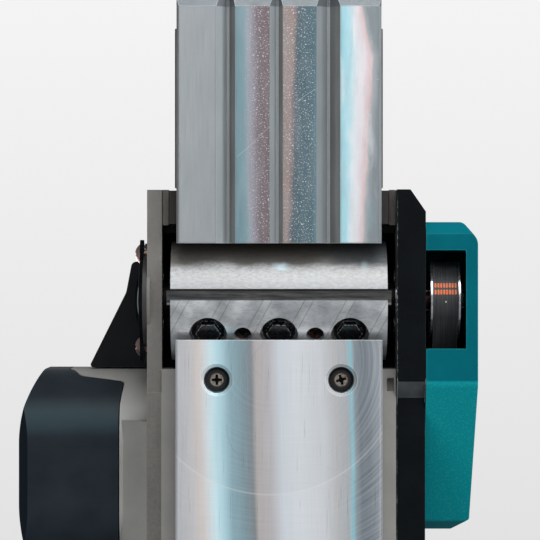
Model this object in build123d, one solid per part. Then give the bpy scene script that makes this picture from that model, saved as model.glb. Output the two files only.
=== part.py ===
from build123d import *
import os
from math import cos, radians, sin

# Electric hand planer, 82 mm wide, in millimetres.
# +X is the machine's right, +Y its front and +Z up. The origin is the middle of the rear sole.

# --- Driving dimensions -----------------------------------------------------------------

BLADE_LENGTH = 82.0
CUT_RADIUS = 23.5
DRUM_RADIUS = 22.2
DRUM_LENGTH = 79.4
DRUM_Z = 23.6

REAR_LENGTH = 150.0
REAR_WIDTH = 75.4
BASE_THICK = 8.0
LIP_GAP = 14.2
MOUTH_GAP = 21.1
FRONT_LENGTH = 98.0
FRONT_WIDTH = 74.8
DEPTH_TRAVEL = 2.5

WALL_IN = 43.0
WALL_OUT = 48.5
WALL_BOTTOM = 9.0

MOTOR_Y = 23.8
MOTOR_Z = 59.0
MOTOR_HALF = 39.0
MOTOR_BORE = 33.0
MOTOR_END = 98.0

KNOB_Y = 160.0
HANDLE_HALF = 17.0

# Small play that keeps neighbouring solids from touching.
SEAM = 0.2
RUNNING = 0.03

# --- Places worked out from the driving dimensions ----------------------------------------

LIP_Y = REAR_LENGTH / 2
DRUM_Y = LIP_Y + LIP_GAP
FRONT_Y0 = DRUM_Y + MOUTH_GAP
FRONT_Y1 = FRONT_Y0 + FRONT_LENGTH
REAR_HALF = REAR_WIDTH / 2
FRONT_HALF = FRONT_WIDTH / 2


# --- Small helpers ------------------------------------------------------------------------

def box(x0, x1, y0, y1, z0, z1):
    """A block between two corners."""
    centre = Pos((x0 + x1) / 2, (y0 + y1) / 2, (z0 + z1) / 2)
    return centre * Box(x1 - x0, y1 - y0, z1 - z0)


def rod_x(y, z, radius, x0, x1):
    """A round bar along X."""
    return Pos((x0 + x1) / 2, y, z) * Rot(0, 90, 0) * Cylinder(radius, x1 - x0)


def rod_y(x, z, radius, y0, y1):
    """A round bar along Y."""
    return Pos(x, (y0 + y1) / 2, z) * Rot(90, 0, 0) * Cylinder(radius, y1 - y0)


def rod_z(x, y, radius, z0, z1):
    """A round bar along Z."""
    return Pos(x, y, (z0 + z1) / 2) * Cylinder(radius, z1 - z0)


def ring_x(y, z, outer, inner, x0, x1):
    """A round tube along X."""
    return rod_x(y, z, outer, x0, x1) - rod_x(y, z, inner, x0 - 1, x1 + 1)


def outline(points):
    """A flat face from corners (a, b) or rounded corners (a, b, radius)."""
    corners = [(p[0], p[1]) for p in points]
    radii = [p[2] if len(p) > 2 else 0 for p in points]
    if any(radii):
        return make_face(FilletPolyline(*corners, radius=radii, close=True))
    return make_face(Polyline(*corners, close=True))


def side_prism(points, x0, x1):
    """Corners in (Y, Z), extruded along X."""
    return extrude(Plane.YZ.offset(x0) * outline(points), amount=x1 - x0)


def plan_prism(points, z0, z1):
    """Corners in (X, Y), extruded along Z."""
    return extrude(Plane.XY.offset(z0) * outline(points), amount=z1 - z0)


def front_prism(points, y0, y1):
    """Corners in (X, Z), extruded along Y."""
    plane = Plane(origin=(0, y0, 0), x_dir=(1, 0, 0), z_dir=(0, -1, 0))
    return extrude(plane * outline(points), amount=-(y1 - y0))


def hexagon_x(y, z, across_flats, x0, x1):
    """A hexagonal bar along X."""
    face = RegularPolygon(across_flats / 2, 6, major_radius=False)
    return extrude(Plane.YZ.offset(x0) * Pos(y, z) * face, amount=x1 - x0)


def about_drum(angle):
    """Turns a shape about the drum's axis, towards the front at the bottom."""
    return Pos(0, DRUM_Y, DRUM_Z) * Rot(angle, 0, 0)


# --- Frame --------------------------------------------------------------------------------

DECK_BOTTOM = BASE_THICK
DECK_TOP = 13.0
DECK_REAR = -78.0
STEP_Y = 55.6
FRONT_BODY_HALF = 38.5
FRONT_BODY_END = 190.0
FRONT_BODY_BOTTOM = 16.0
HUMP_TOP = 84.0
SIDE_FRONT = 130.0
CHAMBER_RADIUS = 25.2
ARCH_RADIUS = 28.4
CHAMBER_FRONT = 117.0
BEARING_RADIUS = 13.0
BEARING_WIDTH = 7.0
BEARING_IN = 43.2
BOSS_RADIUS = 17.0
BOSS_OUT = BEARING_IN + BEARING_WIDTH
MOTOR_BEARING_RADIUS = 11.0
LEFT_WALL_BOTTOM = 11.0

MOTOR_CORNERS = [
    (MOTOR_Y - MOTOR_HALF, MOTOR_Z - MOTOR_HALF, 27),
    (MOTOR_Y + MOTOR_HALF, MOTOR_Z - MOTOR_HALF, 27),
    (MOTOR_Y + MOTOR_HALF, MOTOR_Z + MOTOR_HALF, 27),
    (MOTOR_Y - MOTOR_HALF, MOTOR_Z + MOTOR_HALF, 27),
]

SCREW_X = 22.7
SCREW_YS = (60.4, -55.0)
GUIDE_HOLE_Y = 140.0
GUIDE_HOLE_Z = 32.0
GUIDE_HOLE_RADIUS = 2.5
GUIDE_HOLE_DEPTH = 10.0

CAP_SCREW_OFFSET = 26.5
CAP_LOW_X, CAP_HIGH_X = 59.3, 79.5
WEB_Y0, WEB_Y1 = 0.0, 44.7
WEB_TOP = 20.5

FOOT_PIVOT_Y = -46.0
FOOT_PIVOT_Z = 15.0
FOOT_X0, FOOT_X1 = -42.4, -38.9


def wall_outline(front_bottom, rear_bottom):
    """The side wall's edge, over the hump to the rear deck, with a step under the motor."""
    return [
        (SIDE_FRONT, front_bottom),
        (SIDE_FRONT, 46, 10),
        (113, HUMP_TOP, 12),
        (40, HUMP_TOP),
        (-8, 62, 10),
        (-30, 24, 12),
        (DECK_REAR, 20, 5),
        (DECK_REAR, rear_bottom),
        (STEP_Y, rear_bottom),
        (STEP_Y, front_bottom),
    ]


def crowned_outline(shoulder, crown_half):
    """A rectangle as wide as the motor housing whose far end is crowned from the shoulder on."""
    half = MOTOR_HALF
    middle = (half + crown_half) / 2
    bulge = shoulder + (MOTOR_END - shoulder) * 0.70
    start = -WALL_OUT
    return [
        Line((start, -half), (shoulder, -half)),
        ThreePointArc((shoulder, -half), (bulge, -middle), (MOTOR_END, -crown_half)),
        Line((MOTOR_END, -crown_half), (MOTOR_END, crown_half)),
        ThreePointArc((MOTOR_END, crown_half), (bulge, middle), (shoulder, half)),
        Line((shoulder, half), (start, half)),
        Line((start, half), (start, -half)),
    ]


def motor_envelope():
    """The motor housing's outside, from the left wall to the crowned right end."""
    body = side_prism(MOTOR_CORNERS, -WALL_OUT, MOTOR_END + 2)
    plan = make_face(crowned_outline(MOTOR_END - 9, 11))
    plan = extrude(Plane.XY * Pos(0, MOTOR_Y) * plan, amount=200)
    front = Plane(origin=(0, 100, 0), x_dir=(1, 0, 0), z_dir=(0, -1, 0))
    rise = make_face(crowned_outline(MOTOR_END - 4.5, 24))
    rise = extrude(front * Pos(0, MOTOR_Z) * rise, amount=200)
    return body & plan & rise


def cap_zone(gap):
    """The space that the motor's end cap takes: long on the underside, short above."""
    return front_prism(
        [
            (CAP_LOW_X + gap, 0),
            (CAP_LOW_X + gap, 24, 6),
            (CAP_LOW_X - 1.7 + gap, 32.7 - gap, 1.8),
            (CAP_LOW_X + 15.4 + gap, 36.5 - gap, 4),
            (CAP_HIGH_X + gap, 47 - gap, 4),
            (CAP_HIGH_X + gap, 120),
            (120, 120),
            (120, 0),
        ],
        MOTOR_Y - 60,
        MOTOR_Y + 60,
    )


def motor_casing():
    """The cast part of the motor housing, with a slanting web up from the right wall's foot."""
    web = front_prism(
        [
            (WALL_OUT - 1, DECK_BOTTOM),
            (WALL_OUT, DECK_BOTTOM),
            (CAP_LOW_X - 1, WEB_TOP),
            (CAP_LOW_X - 1, WEB_TOP + 5),
            (WALL_OUT - 1, WEB_TOP + 5),
        ],
        WEB_Y0,
        WEB_Y1,
    )
    return motor_envelope() - cap_zone(0) + web


def chip_outlet(x0, x1):
    """The opening in the right wall that leads into the chute."""
    return side_prism([(68, 54, 3), (101, 54, 3), (101, 78.5, 3), (68, 78.5, 3)], x0, x1)


def chip_channel():
    """The chips' way: up in front of the drum, over the arch and out to the right."""
    way = side_prism(
        [
            (67, 79, 6),
            (67, 50),
            (110, 24),
            (CHAMBER_FRONT, 24),
            (CHAMBER_FRONT, 46, 10),
            (104, 79, 10),
        ],
        -40,
        WALL_IN,
    )
    arch = rod_x(DRUM_Y, DRUM_Z, ARCH_RADIUS, -41, WALL_IN + 1)
    arch -= box(-60, 60, DRUM_Y + 14, 200, 0, 100)
    return (way - arch) + chip_outlet(WALL_IN - 1, WALL_OUT + 1)


def front_body():
    """The narrower nose that carries the depth knob over the front base."""
    nose = side_prism(
        [
            (112, FRONT_BODY_BOTTOM),
            (FRONT_BODY_END, FRONT_BODY_BOTTOM, 2),
            (FRONT_BODY_END, 36, 10),
            (182, 50, 10),
            (140, 56, 10),
            (112, 66),
        ],
        -FRONT_BODY_HALF,
        FRONT_BODY_HALF,
    )
    boss = rod_z(0, KNOB_Y, 21, 44, 60)
    pocket = box(-33, 33, 131, 184, 0, 46)
    guide_boss = rod_x(GUIDE_HOLE_Y, GUIDE_HOLE_Z, 6, -FRONT_BODY_HALF, FRONT_BODY_HALF)
    guide_boss -= box(-27.5, 27.5, 100, 200, 0, 100)
    return nose + boss - pocket + guide_boss


def main_frame():
    """Cast frame: side walls, bridge over the drum, nose, rear deck and motor casing."""
    right = side_prism(wall_outline(WALL_BOTTOM, DECK_BOTTOM), WALL_IN, WALL_OUT)
    left = side_prism(wall_outline(LEFT_WALL_BOTTOM + 0.2, LEFT_WALL_BOTTOM), -WALL_OUT, -WALL_IN)
    bridge = side_prism(
        [
            (SIDE_FRONT, WALL_BOTTOM),
            (SIDE_FRONT, 46, 10),
            (113, HUMP_TOP, 12),
            (54, HUMP_TOP),
            (54, DECK_BOTTOM),
            (STEP_Y, DECK_BOTTOM),
            (64, DECK_BOTTOM),
            (64, WALL_BOTTOM),
        ],
        -WALL_IN,
        WALL_IN,
    )
    deck = box(-WALL_IN, WALL_IN, DECK_REAR, STEP_Y, DECK_BOTTOM, DECK_TOP)
    deck += box(-WALL_IN, WALL_IN, DECK_REAR, DECK_REAR + 5, DECK_BOTTOM, 20)
    deck -= box(-HANDLE_HALF - 0.3, HANDLE_HALF + 0.3, -80, -70, DECK_TOP, 21)
    frame = right + left + bridge + deck + front_body() + motor_casing()
    for side in (-1, 1):
        x0, x1 = sorted((side * (WALL_OUT - 1), side * BOSS_OUT))
        frame += rod_x(DRUM_Y, DRUM_Z, BOSS_RADIUS, x0, x1)
        frame += rod_z(side * SCREW_X, SCREW_YS[1], 5.3, DECK_TOP - 1, 19)

    frame -= rod_x(DRUM_Y, DRUM_Z, CHAMBER_RADIUS, -WALL_IN, WALL_IN)
    frame -= box(-WALL_IN, WALL_IN, 64, CHAMBER_FRONT, 0, DRUM_Z)
    frame -= chip_channel()
    # Room for the front base: its rear edge, its side ears and its travel.
    frame -= box(-37.8, 37.8, 112, 132, 0, BASE_THICK + DEPTH_TRAVEL + 0.7)
    frame -= box(-37.8, 37.8, 121, 132, 0, 46)
    for side in (-1, 1):
        x0, x1 = sorted((side * 36, side * 40.6))
        frame -= box(x0, x1, CHAMBER_FRONT - 0.2, 131, 0, 40)
        x0, x1 = sorted((side * (WALL_IN - 0.5), side * WALL_IN))
        frame -= box(x0, x1, CHAMBER_FRONT - 0.2, 131, 0, 11)

    frame -= rod_x(MOTOR_Y, MOTOR_Z, MOTOR_BORE, -WALL_IN, MOTOR_END)
    frame -= rod_x(MOTOR_Y, MOTOR_Z, MOTOR_BEARING_RADIUS, -WALL_OUT - 1, -WALL_IN + 1)
    frame -= rod_x(DRUM_Y, DRUM_Z, BEARING_RADIUS, -BOSS_OUT - 1, BOSS_OUT + 1)
    frame -= rod_z(0, KNOB_Y, 5.4, 40, 61)
    for side in (-1, 1):
        for y in SCREW_YS:
            frame -= rod_z(side * SCREW_X, y, 2.5, 7, 17.5)
        hole_end = FRONT_BODY_HALF - GUIDE_HOLE_DEPTH
        x0, x1 = sorted((side * hole_end, side * (FRONT_BODY_HALF + 1)))
        frame -= rod_x(GUIDE_HOLE_Y, GUIDE_HOLE_Z, GUIDE_HOLE_RADIUS, x0, x1)
        frame -= rod_x(DRUM_Y + side * COVER_SCREW_REACH, DRUM_Z, 1.75, 43.5, 51)
    for y, z in CAP_SCREWS:
        frame -= rod_x(y, z, 2.0, 46, 90)
    for y, z in CHUTE_SCREWS:
        frame -= rod_x(y, z, 1.75, 43.5, 50)
    for y, z in CASE_SCREWS:
        frame -= rod_x(y, z, 1.75, -50, -43.5)
    # Cast recess beside the rear base's lip.
    frame -= box(-42.2, -39.7, STEP_Y + 0.4, STEP_Y + 5.2, 0, 10.8)
    frame -= box(FOOT_X0 - 0.4, FOOT_X1 + 0.4, -72, -38, 0, 24)
    frame -= rod_x(FOOT_PIVOT_Y, FOOT_PIVOT_Z, 2.0, -47, -33.5)
    return frame


# --- Bases --------------------------------------------------------------------------------

# Each groove across X: one edge, the bottom, the other edge and the depth.
GROOVES = ((22.95, 18.6, 15.95, 3.3), (3.45, 0.6, -1.45, 2.2), (-13.65, -18.2, -22.4, 4.0))
GROOVE_FLAT = 0.45
LAND_END = 196.7
STUD_RADIUS = 5.0


def screw_pocket(x, y):
    """A counterbored screw hole with a chamfered mouth, through the rear base."""
    pocket = rod_z(x, y, 4.8, -1, 5) + rod_z(x, y, 2.75, 4, BASE_THICK + 1)
    mouth = Pos(x, y, 0.5) * Cone(5.9, 4.8, 1.0)
    return pocket + mouth


def rear_base():
    """Machined plate that rides on the planed wood, thin at its lip beside the drum."""
    plate = side_prism(
        [
            (-LIP_Y, 0, 3),
            (LIP_Y, 0),
            (LIP_Y, 3),
            (LIP_Y - 5.5, BASE_THICK - SEAM / 4),
            (-LIP_Y, BASE_THICK - SEAM / 4),
        ],
        -REAR_HALF,
        REAR_HALF,
    )
    plate = chamfer(plate.edges().filter_by(Axis.Y).group_by(Axis.Z)[0], 0.8)
    for side in (-1, 1):
        for y in SCREW_YS:
            plate -= screw_pocket(side * SCREW_X, y)
    return plate


def cross_recess(reach, half_width, z0, z1):
    """Two crossed slots with a wider middle, for a cross-point driver."""
    slots = box(-reach, reach, -half_width, half_width, z0, z1)
    slots += box(-half_width, half_width, -reach, reach, z0, z1)
    return slots + rod_z(0, 0, reach / 2, z0, z1)


def machine_screw(length, head_radius=4.4, shank_radius=2.45):
    """A cross-recessed pan-head screw, driven upwards, with its head's face on the XY plane."""
    head = rod_z(0, 0, head_radius, 0, 3.0)
    head = chamfer(head.edges().group_by(Axis.Z)[0], 0.9)
    shank = rod_z(0, 0, shank_radius, 2.9, length)
    return head + shank - cross_recess(1.9, 0.5, -1, 1.8)


def side_screw(y, z, x_face, length, towards, head_radius=3.4, shank_radius=1.7):
    """A cross-recessed screw along X: its head's face is at x_face, its shank goes towards."""
    screw = machine_screw(length, head_radius, shank_radius)
    return Pos(x_face, y, z) * Rot(0, 90 * towards, 0) * screw


def rear_base_screws():
    """Four screws, each left at the turn where it came tight."""
    screws = []
    for side, turn in ((-1, -17), (1, 0)):
        for y in SCREW_YS:
            screws.append(Pos(side * SCREW_X, y, 1.9) * Rot(0, 0, turn) * machine_screw(15.4))
    return Compound(screws)


def front_base():
    """Cast and machined shoe with three V-grooves; it rises to set the depth of cut."""
    nose_rise = 3.2
    plate = side_prism(
        [
            (FRONT_Y0, 0),
            (LAND_END, 0),
            (FRONT_Y1 - 2, nose_rise, 2),
            (FRONT_Y1, nose_rise + 3, 2),
            (FRONT_Y1, 10, 3),
            (FRONT_Y1 - 12, 13, 3),
            (194, 9.5),
            (FRONT_Y0 + 4, BASE_THICK + 0.4),
            (FRONT_Y0, 6.6),
        ],
        -FRONT_HALF,
        FRONT_HALF,
    )
    plate = chamfer(plate.edges().filter_by(Axis.Y).group_by(Axis.Z)[0], 0.9)
    for right, bottom, left, depth in GROOVES:
        section = [
            (left, 0),
            (left, -2),
            (right, -2),
            (right, 0),
            (bottom + GROOVE_FLAT, depth),
            (bottom - GROOVE_FLAT, depth),
        ]
        plate -= front_prism(section, FRONT_Y0 - 1, FRONT_Y1 + 1)
    for side in (-1, 1):
        x0, x1 = sorted((side * (FRONT_HALF - 1), side * 40.2))
        plate += box(x0, x1, 117.4, 129.6, 5.0, 34)
        x0, x1 = sorted((side * 17, side * 21))
        plate += box(x0, x1, 136, 180, 7, 26)
    plate += rod_z(0, KNOB_Y, 11, 7, 18)
    plate -= rod_z(0, KNOB_Y, STUD_RADIUS, 10, 19)
    return plate


def depth_stud():
    """Threaded stud fixed in the front base; the knob turns on it."""
    stud = rod_z(0, KNOB_Y, STUD_RADIUS - 0.02, 10.1, 88)
    return chamfer(stud.edges().group_by(Axis.Z)[-1], 0.8)


def coil(x, y, z0, z1, radius, wire, turns):
    """A round-wire helical spring along Z."""
    path = Pos(x, y, z0) * Helix(pitch=(z1 - z0) / turns, height=z1 - z0, radius=radius)
    start = Plane(origin=path @ 0, z_dir=path % 0)
    return sweep(start * Circle(wire), path=path, is_frenet=True)


def depth_spring():
    """Spring that pushes the front base down against the knob."""
    return coil(0, KNOB_Y, 19.1, 42.9, 7.6, 0.9, 5)


# --- Depth knob ---------------------------------------------------------------------------

KNOB_BOTTOM = 60.4
KNOB_TOP = 104.0


def front_knob():
    """Round front grip that sets the depth of cut."""
    profile = Plane.XZ * make_face(
        [
            Line((5.2, 67), (20, 67)),
            Line((20, 67), (18.5, 76)),
            ThreePointArc((18.5, 76), (20, 83.4), (24.6, 88)),
            Line((24.6, 88), (24.6, 95)),
            ThreePointArc((24.6, 95), (20, 101), (7, KNOB_TOP)),
            Line((7, KNOB_TOP), (7, 98)),
            Line((7, 98), (5.2, 98)),
            Line((5.2, 98), (5.2, 67)),
        ]
    )
    knob = Pos(0, KNOB_Y, 0) * revolve(profile, axis=Axis.Z)
    for i in range(10):
        turn = Pos(0, KNOB_Y, 0) * Rot(0, 0, 36 * i)
        knob -= turn * rod_z(28.6, 0, 6.0, 80, 110)
    return knob


def depth_scale_ring():
    """Ring under the knob that carries the depth marks."""
    ring = rod_z(0, KNOB_Y, 22.5, KNOB_BOTTOM, 66.8) - rod_z(0, KNOB_Y, 5.4, 50, 70)
    return chamfer(ring.edges().group_by(Axis.Z)[-1].sort_by(SortBy.LENGTH)[-1], 1.2)


def knob_cap():
    """Plug that closes the knob's top."""
    cap = rod_z(0, KNOB_Y, 6.9, 98.2, KNOB_TOP + 0.4)
    return fillet(cap.edges().group_by(Axis.Z)[-1], 0.8)


# --- Drum ---------------------------------------------------------------------------------

EDGE_ANGLE = 9.8
BLADE_LEAN = 33.0
BLADE_STRIP = 6.0
BLADE_THICK = 1.1
CLAMP_ANGLE = -44.0
CLAMP_CHORD = 16.4
CLAMP_RADIUS = 22.4
BOLT_XS = (-26.0, 0.0, 26.0)
SETTING_XS = (-13.3, 13.3)
SHAFT_RADIUS = 5.0
SHAFT_STUB = 3.0
SHAFT_END = -69.4


def drum_side(shape, side):
    """Places a shape drawn for the edge at the bottom on blade 0 or the opposite blade 1."""
    return about_drum(EDGE_ANGLE + 180 * side) * shape


def blade_point(along, inward):
    """A point in the blade's own directions, as (Y, Z) from the drum's axis."""
    lean = radians(BLADE_LEAN)
    y = -cos(lean) * along + sin(lean) * inward
    z = sin(lean) * along + cos(lean) * inward - CUT_RADIUS
    return (y, z)


def blade_space(along0, along1, inward0, inward1, length):
    """A slab in the blade's own directions, over the drum's length."""
    corners = [
        blade_point(along0, inward0),
        blade_point(along1, inward0),
        blade_point(along1, inward1),
        blade_point(along0, inward1),
    ]
    return side_prism(corners, -length / 2, length / 2)


def clamp_space(extra):
    """The segment behind the blade that the clamp plate fills."""
    turn = Rot(CLAMP_ANGLE, 0, 0)
    segment = rod_x(0, 0, CLAMP_RADIUS + extra, -DRUM_LENGTH / 2 - extra, DRUM_LENGTH / 2 + extra)
    segment &= turn * box(-50, 50, -30, 30, -40, -CLAMP_CHORD + extra)
    nose = side_prism([(-3.6 + extra, -30), (-3.6 + extra, -19.8), (12, -9), (12, -30)], -50, 50)
    return segment - nose


def blade_clamp(side):
    """Plate that holds one blade, with three counterbored bolts and two setting screws."""
    plate = clamp_space(0)
    plate -= blade_space(-2, BLADE_STRIP + 0.15, -0.02, 5, BLADE_LENGTH + 2)
    turn = Rot(CLAMP_ANGLE, 0, 0)
    for x in BOLT_XS:
        plate -= turn * rod_z(x, 0, 7.0, -30, -CLAMP_CHORD - 1.8)
        plate -= turn * rod_z(x, 0, 3.1, -30, -10)
    for x in SETTING_XS:
        plate -= turn * rod_z(x, 0, 3.3, -30, -CLAMP_CHORD - 1.8)
        plate -= turn * rod_z(x, 0, 1.6, -30, -10)
    return drum_side(plate, side)


def cutter_drum():
    """Solid drum with a pocket and a chip gullet for each of the two blades."""
    drum = rod_x(DRUM_Y, DRUM_Z, DRUM_RADIUS, -DRUM_LENGTH / 2, DRUM_LENGTH / 2)
    gullet = side_prism(
        [(-1.6, -25), (-1.6, -21.2), (-0.3, -20.2, 0.4), (0.6, -21.0), (0.8, -25)], -50, 50
    )
    seat = blade_space(-3, BLADE_STRIP + 0.1, -5, BLADE_THICK + 0.03, BLADE_LENGTH + 2)
    turn = Rot(CLAMP_ANGLE, 0, 0)
    for side in (0, 1):
        drum -= drum_side(clamp_space(0.05), side)
        drum -= drum_side(gullet, side)
        drum -= drum_side(seat, side)
        for x in BOLT_XS:
            drum -= drum_side(turn * rod_z(x, 0, 2.5, -18, -8), side)
        for x in SETTING_XS:
            drum -= drum_side(turn * rod_z(x, 0, 1.25, -18, -10), side)
    return drum - rod_x(DRUM_Y, DRUM_Z, 8, -60, 60)


def planer_blade(side):
    """Reversible carbide blade, wider than the drum so that it cuts past both bases."""
    bevel = BLADE_THICK * 0.9
    corners = [
        blade_point(0, 0),
        blade_point(BLADE_STRIP, 0),
        blade_point(BLADE_STRIP - bevel, BLADE_THICK),
        blade_point(bevel, BLADE_THICK),
    ]
    blade = side_prism(corners, -BLADE_LENGTH / 2, BLADE_LENGTH / 2)
    return drum_side(blade, side)


def clamp_bolts():
    """Six hexagon bolts that pull the clamp plates down."""
    turn = Rot(CLAMP_ANGLE, 0, 0)
    top = CLAMP_CHORD + 1.85
    bolts = []
    for side in (0, 1):
        for x in BOLT_XS:
            head = extrude(Plane.XY.offset(-top - 3.4) * RegularPolygon(4.6, 6), amount=3.4)
            head = Pos(x, 0, 0) * head
            flange = rod_z(x, 0, 6.2, -top - 0.9, -top)
            shank = rod_z(x, 0, 2.45, -top, -8.2)
            bolts.append(drum_side(turn * (head + flange + shank), side))
    return Compound(bolts)


def setting_screws():
    """Four small screws that hold the blades' height once it is set."""
    turn = Rot(CLAMP_ANGLE, 0, 0)
    top = CLAMP_CHORD + 1.85
    screws = []
    for side in (0, 1):
        for x in SETTING_XS:
            head = rod_z(x, 0, 2.9, -top - 1.8, -top)
            head -= Pos(x, 0, 0) * cross_recess(1.6, 0.35, -top - 3, -top - 1)
            shank = rod_z(x, 0, 1.22, -top, -10.2)
            screws.append(drum_side(turn * (head + shank), side))
    return Compound(screws)


def drum_shaft():
    """Steel spindle through the drum, with bearing seats and a stub for the pulley."""
    shaft = rod_x(DRUM_Y, DRUM_Z, 7.98, -DRUM_LENGTH / 2, DRUM_LENGTH / 2)
    shaft += rod_x(DRUM_Y, DRUM_Z, 6.4, -WALL_IN + 0.1, WALL_IN - 0.1)
    shaft += rod_x(DRUM_Y, DRUM_Z, SHAFT_RADIUS - RUNNING, -BOSS_OUT - 0.2, BOSS_OUT + 0.6)
    shaft += rod_x(DRUM_Y, DRUM_Z, SHAFT_STUB, SHAFT_END, -BOSS_OUT)
    return shaft


def ball_bearing(y, z, outer, bore, x0, width, balls):
    """Deep-groove bearing: two rings and a set of balls, as separate solids."""
    x1, middle = x0 + width, x0 + width / 2
    pitch, ball = (outer + bore) / 2, (outer - bore) * 0.23
    groove = Pos(middle, y, z) * Rot(0, 90, 0) * Torus(pitch, ball + 0.02)
    inner_ring = ring_x(y, z, bore + (outer - bore) * 0.32, bore, x0, x1) - groove
    outer_ring = ring_x(y, z, outer, outer - (outer - bore) * 0.32, x0, x1) - groove
    solids = [inner_ring, outer_ring]
    for i in range(balls):
        a = radians(360 * i / balls)
        solids.append(Pos(middle, y + pitch * cos(a), z + pitch * sin(a)) * Sphere(ball))
    return Compound(solids)


def drum_bearing(side):
    x0 = -BOSS_OUT if side < 0 else BEARING_IN
    return ball_bearing(DRUM_Y, DRUM_Z, BEARING_RADIUS - 0.02, SHAFT_RADIUS, x0, BEARING_WIDTH, 9)


# --- Right bearing cover ------------------------------------------------------------------

COVER_SCREW_REACH = 17.3
COVER_PLATE = 1.4


def low_dome(radius, height):
    """A cap cut from a sphere, standing on the XY plane."""
    sphere = (radius**2 + height**2) / (2 * height)
    above = box(-radius, radius, -radius, radius, 0, height + 1)
    return Pos(0, 0, height - sphere) * Sphere(sphere) & above


def bearing_cover():
    """Two-eared cap over the drum's right bearing, with a raised round centre."""
    x0 = BOSS_OUT + 0.05
    disc = rod_x(DRUM_Y, DRUM_Z, 15.5, x0, x0 + COVER_PLATE)
    dome = Pos(x0 + COVER_PLATE - 0.1, DRUM_Y, DRUM_Z) * Rot(0, 90, 0) * low_dome(12, 2.2)
    cover = disc + dome - rod_x(DRUM_Y, DRUM_Z, 8, x0 - 1, x0 + 0.7)
    for side in (-1, 1):
        y = DRUM_Y + side * COVER_SCREW_REACH
        cover += rod_x(y, DRUM_Z, 5.2, x0, x0 + COVER_PLATE)
        cover -= rod_x(y, DRUM_Z, 1.9, x0 - 1, x0 + 3)
    return cover


def bearing_cover_screws():
    screws = []
    for side in (-1, 1):
        head = low_dome(3.6, 1.9)
        head -= cross_recess(1.9, 0.4, 0.7, 6)
        shank = rod_z(0, 0, 1.7, -7.6, 0.1)
        x_face = BOSS_OUT + 0.1 + COVER_PLATE
        place = Pos(x_face, DRUM_Y + side * COVER_SCREW_REACH, DRUM_Z) * Rot(0, 90, 0)
        screws.append(place * (head + shank))
    return Compound(screws)


# --- Belt drive ---------------------------------------------------------------------------

PULLEY_X0, PULLEY_X1 = -66.9, -56.0
BELT_X0, BELT_X1 = -66.0, -56.9
DRUM_PULLEY_RADIUS = 12.0
MOTOR_PULLEY_RADIUS = 8.0
FLANGE_RADIUS = 14.6
BELT_THICK = 2.15
BELT_GAP = 0.15
RIB_COUNT = 5
RIB_HEIGHT = 0.8


def belt_ribs():
    """Middle of each rib of the belt, along X."""
    pitch = (BELT_X1 - BELT_X0) / RIB_COUNT
    return [BELT_X0 + pitch * (i + 0.5) for i in range(RIB_COUNT)]


def belt_loop(offset, x0, x1):
    """The space inside a belt that lies offset outside both pulleys' rims."""
    big = Pos(DRUM_Y, DRUM_Z) * Circle(DRUM_PULLEY_RADIUS + offset)
    small = Pos(MOTOR_Y, MOTOR_Z) * Circle(MOTOR_PULLEY_RADIUS + offset)
    face = make_hull(big.edges() + small.edges())
    return extrude(Plane.YZ.offset(x0) * face, amount=x1 - x0)


def drive_belt():
    """Endless belt with ribs inside that run in the pulleys' grooves."""
    belt = belt_loop(BELT_GAP + BELT_THICK, BELT_X0, BELT_X1)
    belt -= belt_loop(BELT_GAP, BELT_X0 - 1, BELT_X1 + 1)
    for x in belt_ribs():
        rib = belt_loop(BELT_GAP + 0.1, x - 0.45, x + 0.45)
        belt += rib - belt_loop(BELT_GAP - RIB_HEIGHT, x - 1, x + 1)
    return belt


def grooved_pulley(y, z, radius, bore):
    """Pulley with one groove for each rib of the belt."""
    pulley = ring_x(y, z, radius, bore, BELT_X0 - 0.15, BELT_X1 + 0.15)
    for x in belt_ribs():
        pulley -= ring_x(y, z, radius + 1, radius - RIB_HEIGHT - 0.15, x - 0.65, x + 0.65)
    return pulley


def drum_pulley():
    pulley = grooved_pulley(DRUM_Y, DRUM_Z, DRUM_PULLEY_RADIUS, SHAFT_STUB + 0.02)
    return pulley - rod_x(DRUM_Y, DRUM_Z, 7.4, BELT_X0 - 1, -63.4)


def drum_pulley_flanges():
    """Two thin steel discs that keep the belt on its pulley."""
    outer = ring_x(DRUM_Y, DRUM_Z, FLANGE_RADIUS, 7.5, PULLEY_X0, BELT_X0 - 0.2)
    inner = ring_x(DRUM_Y, DRUM_Z, FLANGE_RADIUS, SHAFT_STUB + 0.02, BELT_X1 + 0.2, PULLEY_X1)
    return Compound([outer, inner])


def pulley_spacer():
    """Sleeve between the left bearing and the pulley."""
    return ring_x(DRUM_Y, DRUM_Z, 3.9, SHAFT_STUB + 0.02, PULLEY_X1 + 0.05, -BOSS_OUT - 0.3)


def drum_pulley_nut():
    nut = hexagon_x(DRUM_Y, DRUM_Z, 10, -68.4, -63.5)
    return nut - rod_x(DRUM_Y, DRUM_Z, SHAFT_STUB + 0.02, -70, -60)


def motor_pulley():
    pulley = grooved_pulley(MOTOR_Y, MOTOR_Z, MOTOR_PULLEY_RADIUS, 4.02)
    return pulley - rod_x(MOTOR_Y, MOTOR_Z, 6.2, BELT_X0 - 1, -64.6)


def motor_pulley_nut():
    nut = hexagon_x(MOTOR_Y, MOTOR_Z, 10, -68.2, -64.7)
    return nut - rod_x(MOTOR_Y, MOTOR_Z, 4.02, -70, -60)


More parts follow.
